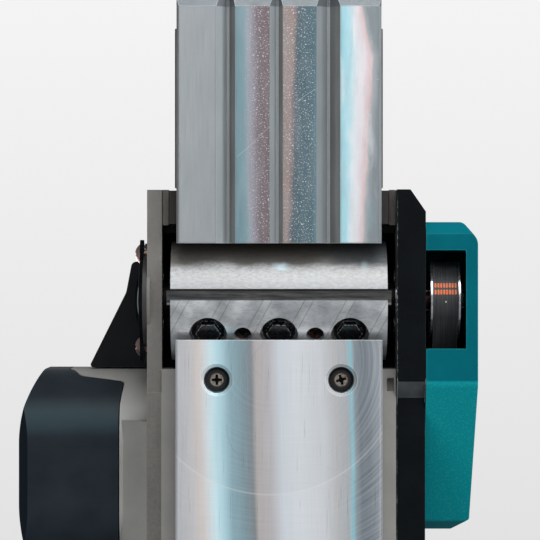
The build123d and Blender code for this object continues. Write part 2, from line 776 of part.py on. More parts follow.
CASE_X0, CASE_X1 = -53.7, -48.7
CASE_WALL = 2.4
CASE_BOTTOM = 3.0
CASE_REAR_BOTTOM = 8.2
CASE_SCREWS = ((117.2, 40), (-8, 72), (-8, 28))
CASE_OUTLINE = [
    (SIDE_FRONT, CASE_BOTTOM),
    (SIDE_FRONT, 48, 10),
    (108, 70, 16),
    (56, 98, 22),
    (-2, 98, 22),
    (-18, 84, 12),
    (-20, CASE_REAR_BOTTOM, 4),
    (53.5, CASE_REAR_BOTTOM, 1.5),
    (59.7, CASE_BOTTOM, 1.5),
]


def belt_case():
    """Black inner half of the belt housing, with a foot that wraps under the left wall."""
    case = side_prism(CASE_OUTLINE, CASE_X0, CASE_X1)
    hollow = side_prism(
        [
            (126, 14, 4),
            (126, 44, 8),
            (107, 66, 14),
            (56, 94, 20),
            (0, 94, 20),
            (-14, 82, 10),
            (-16, 14, 4),
        ],
        CASE_X0 + CASE_WALL,
        CASE_X1 + 1,
    )
    foot = side_prism(CASE_OUTLINE, CASE_X0, -43.3) & box(-60, -40, -20, SIDE_FRONT, 0, 10.8)
    case = (case - hollow) + foot
    for y, z in CASE_SCREWS:
        case += rod_x(y, z, 5, CASE_X0, CASE_X1)
        case -= rod_x(y, z, 1.9, -60, -40)
        case -= rod_x(y, z, 3.7, -60, CASE_X0 + 3.2)
    for y, z in BELT_COVER_SCREWS:
        case += rod_x(y, z, 4, CASE_X0, CASE_X1)
        case -= rod_x(y, z, 1.25, -60, CASE_X1 - 0.6)
    case -= rod_x(DRUM_Y, DRUM_Z, BOSS_RADIUS + 0.3, -BOSS_OUT - 0.3, -40)
    case -= rod_x(DRUM_Y, DRUM_Z, 5.2, -60, -40)
    case -= rod_x(MOTOR_Y, MOTOR_Z, 9, -60, -40)
    # Corner cut at the front, seen in plan.
    plan = [(-40, SIDE_FRONT), (-48.1, SIDE_FRONT), (CASE_X0, 121.9), (CASE_X0, -30), (-40, -30)]
    return case & plan_prism(plan, -5, 120)


def belt_case_screws():
    return Compound([side_screw(y, z, CASE_X0 + 0.2, 8.5, 1) for y, z in CASE_SCREWS])


COVER_X0, COVER_X1 = -72.8, -53.9
COVER_WALL = 2.4
COVER_LEAN = 3.2
COVER_FRONT, COVER_REAR = 118.1, 2.8
WINDOW = (-68.5, -53.6, 71.7, 107.8)
BELT_COVER_SCREWS = ((111, 33), (44, 78), (14.5, 38))


def cover_outline(inset):
    """The belt cover's side view, drawn in by inset."""
    i = inset
    return [
        (COVER_FRONT - i, 8.0 + i * 0.3, 1),
        (COVER_FRONT - 4.3 - i * 0.7, CASE_BOTTOM + i, 1),
        (58.6 - i * 0.3, CASE_BOTTOM + i, 6),
        (COVER_REAR + 3.5 + i, 30.0 + i * 0.8, 2),
        (COVER_REAR + i, 36.0 + i, 2),
        (COVER_REAR + i, 72 - i * 0.5, 16 - i),
        (22, 88 - i, 18 - i),
        (48, 88 - i, 20 - i),
        (104 - i * 0.5, 54 - i * 0.8, 14 - i),
        (COVER_FRONT - i, 38 - i * 0.5, 8 - i),
    ]


def cover_plan(inset):
    """The belt cover's edge from above: square to the case, cut at its outer corners."""
    i = inset
    open_side = COVER_X1 + 2 if inset else COVER_X1
    return [
        (open_side, COVER_FRONT - i),
        (-67.6, COVER_FRONT - i, 3),
        (COVER_X0 + i, COVER_FRONT - 6.6 - i * 0.5, 5),
        (COVER_X0 + i, 58),
        (COVER_X0 + 1.4 + i, COVER_REAR + 4.2 + i * 0.5, 1),
        (-64.8, COVER_REAR + i, 1),
        (open_side, COVER_REAR + i),
    ]


def leaning_space(x0, x1, bend):
    """Space from the side face at x0 to x1; above the bend the side face leans inwards."""
    top = bend + 32
    return front_prism([(x1, 0), (x0, 0), (x0, bend), (x0 + COVER_LEAN, top), (x1, top)], 0, 130)


def belt_cover():
    """Teal outer half of the belt housing, with a window under the drum's pulley."""
    shell = side_prism(cover_outline(0), COVER_X0, COVER_X1) & plan_prism(cover_plan(0), -5, 120)
    # The side face leans in towards the top.
    shell &= leaning_space(COVER_X0, COVER_X1, 60)
    hollow = side_prism(cover_outline(COVER_WALL), COVER_X0, COVER_X1 + 1)
    hollow &= plan_prism(cover_plan(COVER_WALL), -5, 120)
    hollow &= leaning_space(COVER_X0 + COVER_WALL, COVER_X1 + 2, 58)
    cover = shell - hollow
    x0, x1, y0, y1 = WINDOW
    cover -= box(x0, x1, y0, y1, 0, 12)
    for y, z in BELT_COVER_SCREWS:
        cover += rod_x(y, z, 4, COVER_X0 + 3.4, COVER_X1) & shell
        cover -= rod_x(y, z, 3.7, COVER_X0 - 1, COVER_X0 + 5)
        cover -= rod_x(y, z, 1.6, COVER_X0 - 1, COVER_X1 + 1)
    return cover


def belt_cover_screws():
    screws = [side_screw(y, z, COVER_X0 + 2.0, 19.5, 1, 3.3, 1.2) for y, z in BELT_COVER_SCREWS]
    return Compound(screws)


# --- Motor --------------------------------------------------------------------------------

CAP_SCREWS = tuple(
    (MOTOR_Y + a * CAP_SCREW_OFFSET, MOTOR_Z + b * CAP_SCREW_OFFSET) for a in (-1, 1) for b in (-1, 1)
)
STATOR_X0, STATOR_X1 = 0.0, 42.0


def motor_end_cap():
    """Dark end cap that carries the right motor bearing and lets air in."""
    cap = motor_envelope() & cap_zone(0.35)
    cap -= rod_x(MOTOR_Y, MOTOR_Z, MOTOR_BORE, 40, 90)
    spider = ring_x(MOTOR_Y, MOTOR_Z, 15, 6, 77, 91)
    for angle in (0, 90):
        arm = Pos(84, MOTOR_Y, MOTOR_Z) * Rot(45 + angle, 0, 0) * Box(10, 2 * MOTOR_BORE + 4, 4)
        spider += arm & rod_x(MOTOR_Y, MOTOR_Z, MOTOR_BORE + 1, 77, 91)
    spider -= rod_x(MOTOR_Y, MOTOR_Z, MOTOR_BEARING_RADIUS, 70, 85.3)
    reach = rod_x(MOTOR_Y, MOTOR_Z, MOTOR_BORE - 0.15, 77, 91)
    reach += rod_x(MOTOR_Y, MOTOR_Z, MOTOR_BORE + 0.5, 80.6, 91)
    cap += spider & reach
    for row in range(-3, 4):
        z = MOTOR_Z + row * 6.0
        half = (27.0**2 - (row * 6.0) ** 2) ** 0.5
        slot = box(85.5, 100, MOTOR_Y - half, MOTOR_Y + half, z - 1.3, z + 1.3)
        cap -= slot - rod_x(MOTOR_Y, MOTOR_Z, 15, 80, 105)
    for y, z in CAP_SCREWS:
        cap -= rod_x(y, z, 2.2, 50, 100)
        cap -= rod_x(y, z, 4.0, 84, 100)
    return cap


def motor_end_cap_screws():
    return Compound([side_screw(y, z, 87.0, 36, -1, 3.7, 1.95) for y, z in CAP_SCREWS])


def stator_core():
    """Laminated field with two pole shoes."""
    core = ring_x(MOTOR_Y, MOTOR_Z, MOTOR_BORE - 0.05, 27, STATOR_X0, STATOR_X1)
    poles = ring_x(MOTOR_Y, MOTOR_Z, 27.5, 18.6, STATOR_X0, STATOR_X1)
    poles &= box(-50, 90, -100, 200, MOTOR_Z - 13, MOTOR_Z + 13)
    return core + poles


def field_coils():
    """Two windings between the poles."""
    coils = ring_x(MOTOR_Y, MOTOR_Z, 26.8, 19.2, STATOR_X0 - 8, STATOR_X1 + 8)
    coils -= box(-50, 90, -100, 200, MOTOR_Z - 13.3, MOTOR_Z + 13.3)
    return coils


def armature_core():
    """Slotted rotor stack."""
    core = ring_x(MOTOR_Y, MOTOR_Z, 18.0, 5.52, 1, 41)
    for i in range(12):
        slot = Rot(30 * i, 0, 0) * box(0, 42, -1.0, 1.0, 11, 19)
        core -= Pos(0, MOTOR_Y, MOTOR_Z) * slot
    return core


def armature_windings():
    """Copper end turns on both sides of the rotor stack."""
    left = ring_x(MOTOR_Y, MOTOR_Z, 15.5, 5.52, -7, 0.95)
    right = ring_x(MOTOR_Y, MOTOR_Z, 15.5, 5.52, 41.05, 49)
    solids = []
    for ring in (left, right):
        circles = ring.edges().filter_by(GeomType.CIRCLE).sort_by(SortBy.RADIUS)
        solids.append(fillet(circles[-2:], 3))
    return Compound(solids)


def commutator():
    ring = ring_x(MOTOR_Y, MOTOR_Z, 11.5, 5.52, 53, 66)
    for i in range(24):
        groove = Rot(15 * i, 0, 0) * box(54, 67, -0.25, 0.25, 10.7, 12)
        ring -= Pos(0, MOTOR_Y, MOTOR_Z) * groove
    return ring


def armature_shaft():
    shaft = rod_x(MOTOR_Y, MOTOR_Z, 4.0 - RUNNING, -68.6, 85.2)
    shaft += rod_x(MOTOR_Y, MOTOR_Z, 5.5, -38, 74)
    return shaft


def cooling_fan():
    """Radial fan between the rotor and the left wall."""
    fan = ring_x(MOTOR_Y, MOTOR_Z, 30.5, 5.52, -25.6, -24)
    fan += ring_x(MOTOR_Y, MOTOR_Z, 9, 5.52, -35, -24)
    for i in range(14):
        vane = Rot(360 / 14 * i, 0, 0) * box(-33, -25, -0.8, 0.8, 8, 29.5)
        fan += Pos(0, MOTOR_Y, MOTOR_Z) * vane
    return fan


def fan_baffle():
    """Ring that guides the cooling air into the fan."""
    return ring_x(MOTOR_Y, MOTOR_Z, MOTOR_BORE - 0.05, 21, -21.5, -19.5)


def motor_bearing(side):
    x0 = -WALL_OUT + 0.3 if side < 0 else 78.2
    return ball_bearing(MOTOR_Y, MOTOR_Z, MOTOR_BEARING_RADIUS - 0.02, 4.0, x0, BEARING_WIDTH, 7)


BRUSH_X = 59.5


def brush_holders():
    """Two brass guides that aim the brushes at the commutator."""
    guides = []
    for side in (-1, 1):
        y0, y1 = sorted((MOTOR_Y + side * 14, MOTOR_Y + side * 32))
        guide = box(BRUSH_X - 4.5, BRUSH_X + 4.5, y0, y1, MOTOR_Z - 4.5, MOTOR_Z + 4.5)
        y0, y1 = sorted((MOTOR_Y + side * 12, MOTOR_Y + side * 30.8))
        guide -= box(BRUSH_X - 3.3, BRUSH_X + 3.3, y0, y1, MOTOR_Z - 3.3, MOTOR_Z + 3.3)
        guides.append(guide)
    return Compound(guides)


def carbon_brushes():
    brushes = []
    for side in (-1, 1):
        y0, y1 = sorted((MOTOR_Y + side * 11.8, MOTOR_Y + side * 25))
        brushes.append(box(BRUSH_X - 3.2, BRUSH_X + 3.2, y0, y1, MOTOR_Z - 3.2, MOTOR_Z + 3.2))
    return Compound(brushes)


# --- Chip chute ---------------------------------------------------------------------------

CHUTE_SCREWS = ((107.2, 52), (107.2, 75))
CHUTE_Z0, CHUTE_Z1 = 48.0, 82.0
CHUTE_WALL = 2.4


def chip_chute():
    """Black outlet on the right wall, with a slanting mouth that throws chips outwards."""
    shell = plan_prism(
        [(WALL_OUT + 0.1, 104), (56, 103.6, 2), (58.2, 92, 6), (72.4, 63.4, 1), (WALL_OUT + 0.1, 63.4)],
        CHUTE_Z0,
        CHUTE_Z1,
    )
    shell = fillet(shell.faces().sort_by(Axis.Z)[-1].edges().sort_by(Axis.X)[1:], 1.0)
    flange = side_prism(
        [(63.4, 46.6, 2), (110.6, 46.6, 3), (110.6, 80, 3), (105, 83.4, 2), (63.4, 83.4, 2)],
        WALL_OUT + 0.1,
        WALL_OUT + 2.5,
    )
    inside = plan_prism(
        [
            (WALL_OUT - 1, 101.2),
            (53.8, 101.2, 2),
            (56.0, 91.2),
            (59.0, 86.6),
            (70, 92),
            (82, 68),
            (69.0, 65.8),
            (WALL_OUT - 1, 65.8),
        ],
        CHUTE_Z0 + CHUTE_WALL,
        CHUTE_Z1 - CHUTE_WALL,
    )
    inlet = chip_outlet(WALL_OUT - 1, WALL_OUT + 4)
    rim = box(WALL_OUT - 1, WALL_OUT + 2.5, 60, 110, 40, 90)
    chute = (shell + flange) - (inside - rim) - inlet
    for y, z in CHUTE_SCREWS:
        chute -= rod_x(y, z, 1.9, 40, 60)
    return chute


def chip_chute_screws():
    x_face = WALL_OUT + 2.5 + 3.0
    return Compound([side_screw(y, z, x_face, 9.5, -1, 2.9, 1.7) for y, z in CHUTE_SCREWS])


# --- Handle -------------------------------------------------------------------------------

SHELL_WALL = 2.2
GRIP_THICK = 3.0
HANDLE_SCREWS = ((92, 96), (74, 146), (-70, 141), (-86, 92), (-80, 34), (-40, 24))
TRIGGER_HINGE = (47.0, 140.0)
BUTTON_PLACE = (62.0, 140.0)
GLAND_Z = 78.0

HANDLE_OUTER = [
    (101, 84.2),
    (101, 104, 12),
    (88, 136, 20),
    (68, 162, 20),
    (-20, 168, 80),
    (-80, 147, 28),
    (-98, 96, 26),
    (-92, 40, 20),
    (-84, 13.2),
    (-24, 13.2),
    (-24, 30, 8),
    (-17.2, 48, 3),
    (-17.2, 98.2, 1),
    (65.5, 98.2, 1),
    (65.5, 84.2, 1),
]
HANDLE_HOLE = [
    (-48, 103.5, 10),
    (-54, 118, 8),
    (-40, 131, 12),
    (50, 135, 10),
    (60, 118, 8),
    (50, 103.5, 10),
]


def is_hole_rim(edge):
    """Tells the finger opening's edges from the handle's outer ones."""
    middle = edge @ 0.5
    return -60 < middle.Y < 62 and 99 < middle.Z < 137


def is_outer_rim(edge):
    """Tells the handle's free outer edges from those that meet the frame."""
    middle = edge @ 0.5
    free = middle.Y > 98 or middle.Z > 99 or middle.Y < -87
    return free and not is_hole_rim(edge)


def handle_body(inset, outer_edge, hole_edge):
    """The handle's solid envelope, drawn in by inset all round, with its edges rounded."""
    outer, hole = outline(HANDLE_OUTER), outline(HANDLE_HOLE)
    if inset:
        outer = offset(outer, amount=-inset)
        hole = offset(hole, amount=inset)
    half = HANDLE_HALF - inset
    body = extrude(Plane.YZ.offset(-half) * (outer - hole), amount=2 * half)
    if outer_edge:
        faces = body.faces().sort_by(Axis.X)
        rims = ShapeList(faces[0].edges() + faces[-1].edges())
        body = fillet(rims.filter_by(is_outer_rim), outer_edge)
        faces = body.faces().sort_by(Axis.X)
        rims = ShapeList(faces[0].edges() + faces[-1].edges())
        body = fillet(rims.filter_by(is_hole_rim), hole_edge)
    return body


def grip_zone():
    """Where the soft grip wraps the handle's bar."""
    return side_prism([(38, 128, 6), (47, 175), (-66, 175), (-52, 122, 8)], -30, 30)


def trigger_slot():
    return box(-7.2, 7.2, 8, 54, 124, 146)


def handle_shell(side):
    """One half of the handle's casing, split on the middle plane."""
    body = HANDLE_BODY - (HANDLE_BODY & grip_zone()) + (HANDLE_CORE & grip_zone())
    body -= HANDLE_CAVITY
    x0, x1 = sorted((side * 0.05, side * 40))
    shell = body & box(x0, x1, -120, 120, 0, 180)
    for y, z in HANDLE_SCREWS:
        x0, x1 = sorted((side * 0.05, side * (HANDLE_HALF - 2)))
        shell += rod_x(y, z, 4.2, x0, x1)
        shell -= rod_x(y, z, 1.7 if side > 0 else 1.25, -14, 20)
        if side > 0:
            shell -= rod_x(y, z, 3.4, 13, 30)
    shell -= trigger_slot()
    shell -= rod_x(BUTTON_PLACE[0], BUTTON_PLACE[1], 4.8, -30, 0)
    shell -= rod_x(BUTTON_PLACE[0], BUTTON_PLACE[1], 6.6, -13, -2)
    shell -= rod_x(TRIGGER_HINGE[0], TRIGGER_HINGE[1], 2.0, -11, 11)
    shell -= rod_y(0, GLAND_Z, 7.0, -110, -88)
    return shell


def handle_grip():
    """Soft dark sleeve moulded over the handle's bar."""
    grip = (HANDLE_BODY & grip_zone()) - HANDLE_CORE
    grip -= trigger_slot()
    return grip


def handle_screws():
    return Compound([side_screw(y, z, 16.0, 26, -1, 3.2, 1.2) for y, z in HANDLE_SCREWS])


def trigger_pin():
    y, z = TRIGGER_HINGE
    return rod_x(y, z, 1.95, -10.5, 10.5)


def trigger():
    """Switch trigger, hinged at its front end inside the handle."""
    y, z = TRIGGER_HINGE
    body = side_prism(
        [
            (y + 4, z + 3, 2),
            (y + 4, z - 7, 3),
            (y - 6, 127.5, 5),
            (18, 124.5, 6),
            (10.5, 131, 3),
            (10.5, z + 2, 2),
        ],
        -6.6,
        6.6,
    )
    body = fillet(body.faces().sort_by(Axis.X)[0].edges().sort_by(Axis.Z)[:3], 1.2)
    body = fillet(body.faces().sort_by(Axis.X)[-1].edges().sort_by(Axis.Z)[:3], 1.2)
    return body - rod_x(y, z, 2.0, -10, 10)


def switch_body():
    return box(-9, 9, -14, 34, 149, 157.5)


def lock_off_button():
    y, z = BUTTON_PLACE
    button = rod_x(y, z, 4.4, -20.6, -3)
    button = fillet(button.edges().group_by(Axis.X)[0], 1.0)
    return button + rod_x(y, z, 6.2, -12.6, -10.6)


def cord_gland():
    """Threaded sleeve at the back of the handle that the mains cord would enter."""
    y1 = -86.0
    gland = rod_y(0, GLAND_Z, 6.9, y1 - 14, y1) + rod_y(0, GLAND_Z, 9.4, -103.5, -98.6)
    return gland - rod_y(0, GLAND_Z, 4.2, -110, -80)


# --- Standing foot ------------------------------------------------------------------------

def standing_foot():
    """Flap that drops below the rear base when the planer's rear is lifted."""
    y, z = FOOT_PIVOT_Y, FOOT_PIVOT_Z
    foot = side_prism(
        [
            (y + 4.5, z + 4.5, 4),
            (y + 4.5, z - 4.5, 4),
            (y - 14, 1.4, 2),
            (y - 22, 0.6, 1.5),
            (y - 22, 5, 2),
            (y - 10, z + 2, 6),
        ],
        FOOT_X0,
        FOOT_X1,
    )
    return foot - rod_x(y, z, 2.02, -50, -30)


def foot_pin():
    return rod_x(FOOT_PIVOT_Y, FOOT_PIVOT_Z, 1.97, -46.8, -33.8)


# --- Build --------------------------------------------------------------------------------

HANDLE_BODY = handle_body(0, 7.5, 4.5)
HANDLE_CORE = handle_body(GRIP_THICK, 0, 0)
HANDLE_CAVITY = handle_body(GRIP_THICK + SHELL_WALL, 0, 0)

NODES = {
    "main_frame": main_frame,
    "rear_base": rear_base,
    "rear_base_screws": rear_base_screws,
    "front_base": front_base,
    "depth_stud": depth_stud,
    "depth_spring": depth_spring,
    "front_knob": front_knob,
    "depth_scale_ring": depth_scale_ring,
    "knob_cap": knob_cap,
    "cutter_drum": cutter_drum,
    "drum_shaft": drum_shaft,
    "planer_blade_1": lambda: planer_blade(0),
    "planer_blade_2": lambda: planer_blade(1),
    "blade_clamp_1": lambda: blade_clamp(0),
    "blade_clamp_2": lambda: blade_clamp(1),
    "clamp_bolts": clamp_bolts,
    "setting_screws": setting_screws,
    "drum_bearing_left": lambda: drum_bearing(-1),
    "drum_bearing_right": lambda: drum_bearing(1),
    "bearing_cover": bearing_cover,
    "bearing_cover_screws": bearing_cover_screws,
    "drum_pulley": drum_pulley,
    "drum_pulley_flanges": drum_pulley_flanges,
    "pulley_spacer": pulley_spacer,
    "drum_pulley_nut": drum_pulley_nut,
    "motor_pulley": motor_pulley,
    "motor_pulley_nut": motor_pulley_nut,
    "drive_belt": drive_belt,
    "belt_case": belt_case,
    "belt_case_screws": belt_case_screws,
    "belt_cover": belt_cover,
    "belt_cover_screws": belt_cover_screws,
    "motor_end_cap": motor_end_cap,
    "motor_end_cap_screws": motor_end_cap_screws,
    "stator_core": stator_core,
    "field_coils": field_coils,
    "armature_core": armature_core,
    "armature_windings": armature_windings,
    "commutator": commutator,
    "armature_shaft": armature_shaft,
    "cooling_fan": cooling_fan,
    "fan_baffle": fan_baffle,
    "motor_bearing_left": lambda: motor_bearing(-1),
    "motor_bearing_right": lambda: motor_bearing(1),
    "brush_holders": brush_holders,
    "carbon_brushes": carbon_brushes,
    "chip_chute": chip_chute,
    "chip_chute_screws": chip_chute_screws,
    "handle_left": lambda: handle_shell(-1),
    "handle_right": lambda: handle_shell(1),
    "handle_grip": handle_grip,
    "handle_screws": handle_screws,
    "trigger": trigger,
    "trigger_pin": trigger_pin,
    "switch_body": switch_body,
    "lock_off_button": lock_off_button,
    "cord_gland": cord_gland,
    "standing_foot": standing_foot,
    "foot_pin": foot_pin,
}

os.makedirs("parts", exist_ok=True)
for name, make in NODES.items():
    export_step(make(), f"parts/{name}.step")
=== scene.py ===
from math import cos, pi, sin

import bmesh
import bpy
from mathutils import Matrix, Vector


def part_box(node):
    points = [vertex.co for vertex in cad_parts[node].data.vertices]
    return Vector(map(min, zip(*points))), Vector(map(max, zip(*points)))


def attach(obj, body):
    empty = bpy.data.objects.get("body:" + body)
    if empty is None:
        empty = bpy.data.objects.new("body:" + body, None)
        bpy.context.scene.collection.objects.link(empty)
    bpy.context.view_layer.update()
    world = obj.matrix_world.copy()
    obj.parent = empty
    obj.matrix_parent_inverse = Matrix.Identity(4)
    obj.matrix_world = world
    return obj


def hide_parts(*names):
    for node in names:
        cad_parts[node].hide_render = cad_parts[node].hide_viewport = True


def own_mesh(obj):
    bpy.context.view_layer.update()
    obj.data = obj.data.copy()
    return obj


# Looks of the electric hand planer. Everything is in metres, in the frame of the CAD model.

MM = 0.001
CAMERA_DISTANCE = 1.0
VIEW_WIDTH = 196.8 * MM
SENSOR = 36.0
VIEW_MIDDLE_X = 3.28 * MM
VIEW_BEFORE_DRUM = 11.3 * MM
FLOOR_HALF, FLOOR_GAP = 3.0, 0.2 * MM
FLOOR_WHOLE, FLOOR_GONE = 0.35, 1.1
INK = 0.03 * MM
PRINT_GAP = 0.04 * MM
SPRING_WIRE = 1.8 * MM
SPRING_TURNS = 5

# Places on the CAD model that colours follow: X from its middle, Y forwards, Z up from the soles.
SOLE_EDGE = 37.4 * MM
WALL_INSIDE = 43.2 * MM
WALL_OUTSIDE = 48.4 * MM
WALL_DIM, WALL_PALE = 20 * MM, 95 * MM
DECK_FRONT = 64.0 * MM
BOSS_REAR, BOSS_FRONT, BOSS_TOP = 71 * MM, 107 * MM, 42 * MM
DRUM_ROOM_REAR, DRUM_ROOM_FRONT, DRUM_ROOM_LOW = 64.1 * MM, 117.2 * MM, 9.2 * MM
CHIP_WAY_LOW, CHIP_WAY_TOP, CHIP_WAY_FRONT = 48 * MM, 80 * MM, 109.3 * MM
CASE_RAMP_TOP = 8.6 * MM
CASE_INSIDE = -49 * MM
CASE_SEAM_REAR, CASE_SEAM_FRONT = 52 * MM, 60.5 * MM
FRONT_BASE_REAR = 111 * MM
TOE_EDGE = 197 * MM
MIDDLE_LANDS_LEFT, MIDDLE_LANDS_RIGHT = -14 * MM, 13 * MM
FOURTH_LAND_LEFT, FOURTH_LAND_RIGHT = -36 * MM, -21 * MM
REFLECTION_SIDE, REFLECTION_WAIST = -23.4 * MM, 178 * MM
LAND_FLAT = 0.05 * MM
GROOVE_DEEP, GROOVE_BOTTOM = 2.4 * MM, 4.4 * MM
BLADE_EDGE, BLADE_BACK = 93.6 * MM, 88.0 * MM
MILL_X, MILL_Y, MILL_RADIUS = 3.4 * MM, 67.1 * MM, 48.4 * MM
CLAMP_PASS = 15.2 * MM
SCREW_HEAD_RADIUS = 4.4 * MM
SCREW_LIT_RADIUS = 2.1 * MM
SCREW_FACE = 2.3 * MM


# --- Materials: a small kit ---------------------------------------------------------------

class Surface:
    """One principled material and the nodes that feed it."""

    def __init__(self, name, colour, roughness, metallic=0.0, **sockets):
        self.material = bpy.data.materials.new(name)
        self.material.use_nodes = True
        self.material.diffuse_color = (*colour, 1)
        self.tree = self.material.node_tree
        self.shader = self.tree.nodes["Principled BSDF"]
        self.shader.inputs["Base Color"].default_value = (*colour, 1)
        self.shader.inputs["Roughness"].default_value = roughness
        self.shader.inputs["Metallic"].default_value = metallic
        for socket, value in sockets.items():
            self.shader.inputs[socket.replace("_", " ")].default_value = value
        self.place = self.node("ShaderNodeTexCoord").outputs["Object"]

    def node(self, kind, inputs=None, **settings):
        made = self.tree.nodes.new(kind)
        for key, value in settings.items():
            setattr(made, key, value)
        for key, value in (inputs or {}).items():
            self.feed(made.inputs[key], value)
        return made

    def feed(self, socket, value):
        """Links an output, or sets a plain number or colour."""
        if isinstance(value, bpy.types.NodeSocket):
            self.tree.links.new(value, socket)
        elif isinstance(value, tuple) and len(value) == 3 and socket.type == "RGBA":
            socket.default_value = (*value, 1)
        else:
            socket.default_value = value

    def set(self, socket, value):
        self.feed(self.shader.inputs[socket], value)

    def axis(self, name):
        """One coordinate of the surface point, in metres."""
        return self.node("ShaderNodeSeparateXYZ", {"Vector": self.place}).outputs[name]

    def facing(self, name):
        """One component of the surface's own direction."""
        normal = self.node("ShaderNodeTexCoord").outputs["Normal"]
        return self.node("ShaderNodeSeparateXYZ", {"Vector": normal}).outputs[name]

    def within(self, value, low, high, soft=0.1 * MM):
        """1 while a value lies between two bounds."""
        rise = self.between(value, low - soft, low)
        return self.both(rise, self.between(value, high + soft, high))

    def math(self, operation, a, b=0.0):
        return self.node("ShaderNodeMath", {0: a, 1: b}, operation=operation).outputs[0]

    def fold(self, operation, values):
        """One operation over any number of values."""
        result, *others = values
        for value in others:
            result = self.math(operation, result, value)
        return result

    def both(self, *values):
        """1 where every mask is 1: their product."""
        return self.fold("MULTIPLY", values)

    def either(self, *values):
        """1 where any mask is 1: the largest of them."""
        return self.fold("MAXIMUM", values)

    def total(self, *values):
        return self.fold("ADD", values)

    def distance(self, across, along):
        """Length of a flat vector."""
        squares = self.total(self.both(across, across), self.both(along, along))
        return self.math("SQRT", squares)

    def noise(self, size, detail=3.0, stretch=(1, 1, 1), rough=0.5, offset=(0, 0, 0)):
        """Noise whose grains are about size metres, longer where stretch is over 1."""
        scaled = self.node("ShaderNodeMapping", {"Vector": self.place})
        scaled.inputs["Scale"].default_value = [1 / times for times in stretch]
        scaled.inputs["Location"].default_value = offset
        texture = self.node(
            "ShaderNodeTexNoise",
            {"Vector": scaled.outputs[0], "Scale": 1 / size, "Detail": detail, "Roughness": rough},
        )
        return texture.outputs["Fac"]

    def ramp(self, factor, stops):
        """Colours along a factor: stops are (place, colour)."""
        ramp = self.node("ShaderNodeValToRGB", {"Fac": factor})
        elements = ramp.color_ramp.elements
        while len(elements) < len(stops):
            elements.new(0.5)
        for element, (place, colour) in zip(elements, stops):
            element.position = place
            element.color = (*colour, 1)
        return ramp.outputs["Color"]

    def between(self, value, low, high, to_low=0.0, to_high=1.0):
        """Maps low to to_low and high to to_high, evenly between them and held beyond them."""
        ranged = self.node("ShaderNodeMapRange", {"Value": value})
        ranged.inputs["From Min"].default_value = low
        ranged.inputs["From Max"].default_value = high
        ranged.inputs["To Min"].default_value = to_low
        ranged.inputs["To Max"].default_value = to_high
        return ranged.outputs[0]

    def mix(self, factor, a, b, blend="MIX"):
        mixed = self.node("ShaderNodeMix", data_type="RGBA", blend_type=blend)
        self.feed(mixed.inputs["Factor"], factor)
        self.feed(mixed.inputs["A"], a)
        self.feed(mixed.inputs["B"], b)
        return mixed.outputs["Result"]

    def bump(self, height, strength, distance):
        bump = self.node("ShaderNodeBump", {"Height": height, "Strength": strength, "Distance": distance})
        self.set("Normal", bump.outputs["Normal"])

    def finish(self, colour, roughness, height, strength, distance):
        """Feeds colour, roughness and bump, and gives the material."""
        self.set("Base Color", colour)
        self.set("Roughness", roughness)
        self.bump(height, strength, distance)
        return self.material

    def hairlines(self, size, offset=(0, 0, 0)):
        """1 on a few long thin scratches: one contour of a smooth noise, broken up by another."""
        height = self.math("SUBTRACT", self.noise(size, 0, offset=offset), 0.5)
        line = self.between(self.math("ABSOLUTE", height), 9e-4, 3e-4)
        return self.both(line, self.between(self.noise(size / 6, 1, offset=offset), 0.48, 0.54))

    def sharp_edges(self, radius=0.4 * MM, faint=0.985, full=0.86):
        """1 along sharp edges and 0 on open faces; faint and full are cosines of the turn."""
        bevel = self.node("ShaderNodeBevel", {"Radius": radius}, samples=6)
        plain = self.node("ShaderNodeNewGeometry").outputs["Normal"]
        dot = self.node("ShaderNodeVectorMath", {0: bevel.outputs[0], 1: plain}, operation="DOT_PRODUCT")
        return self.between(dot.outputs["Value"], faint, full)


def srgb(r, g, b):
    """A display colour from 0 to 255 as linear light."""
    def linear(v):
        v = v / 255
        return v / 12.92 if v <= 0.04045 else ((v + 0.055) / 1.055) ** 2.4
    return (linear(r), linear(g), linear(b))


# --- Materials: paint and plastic ---------------------------------------------------------

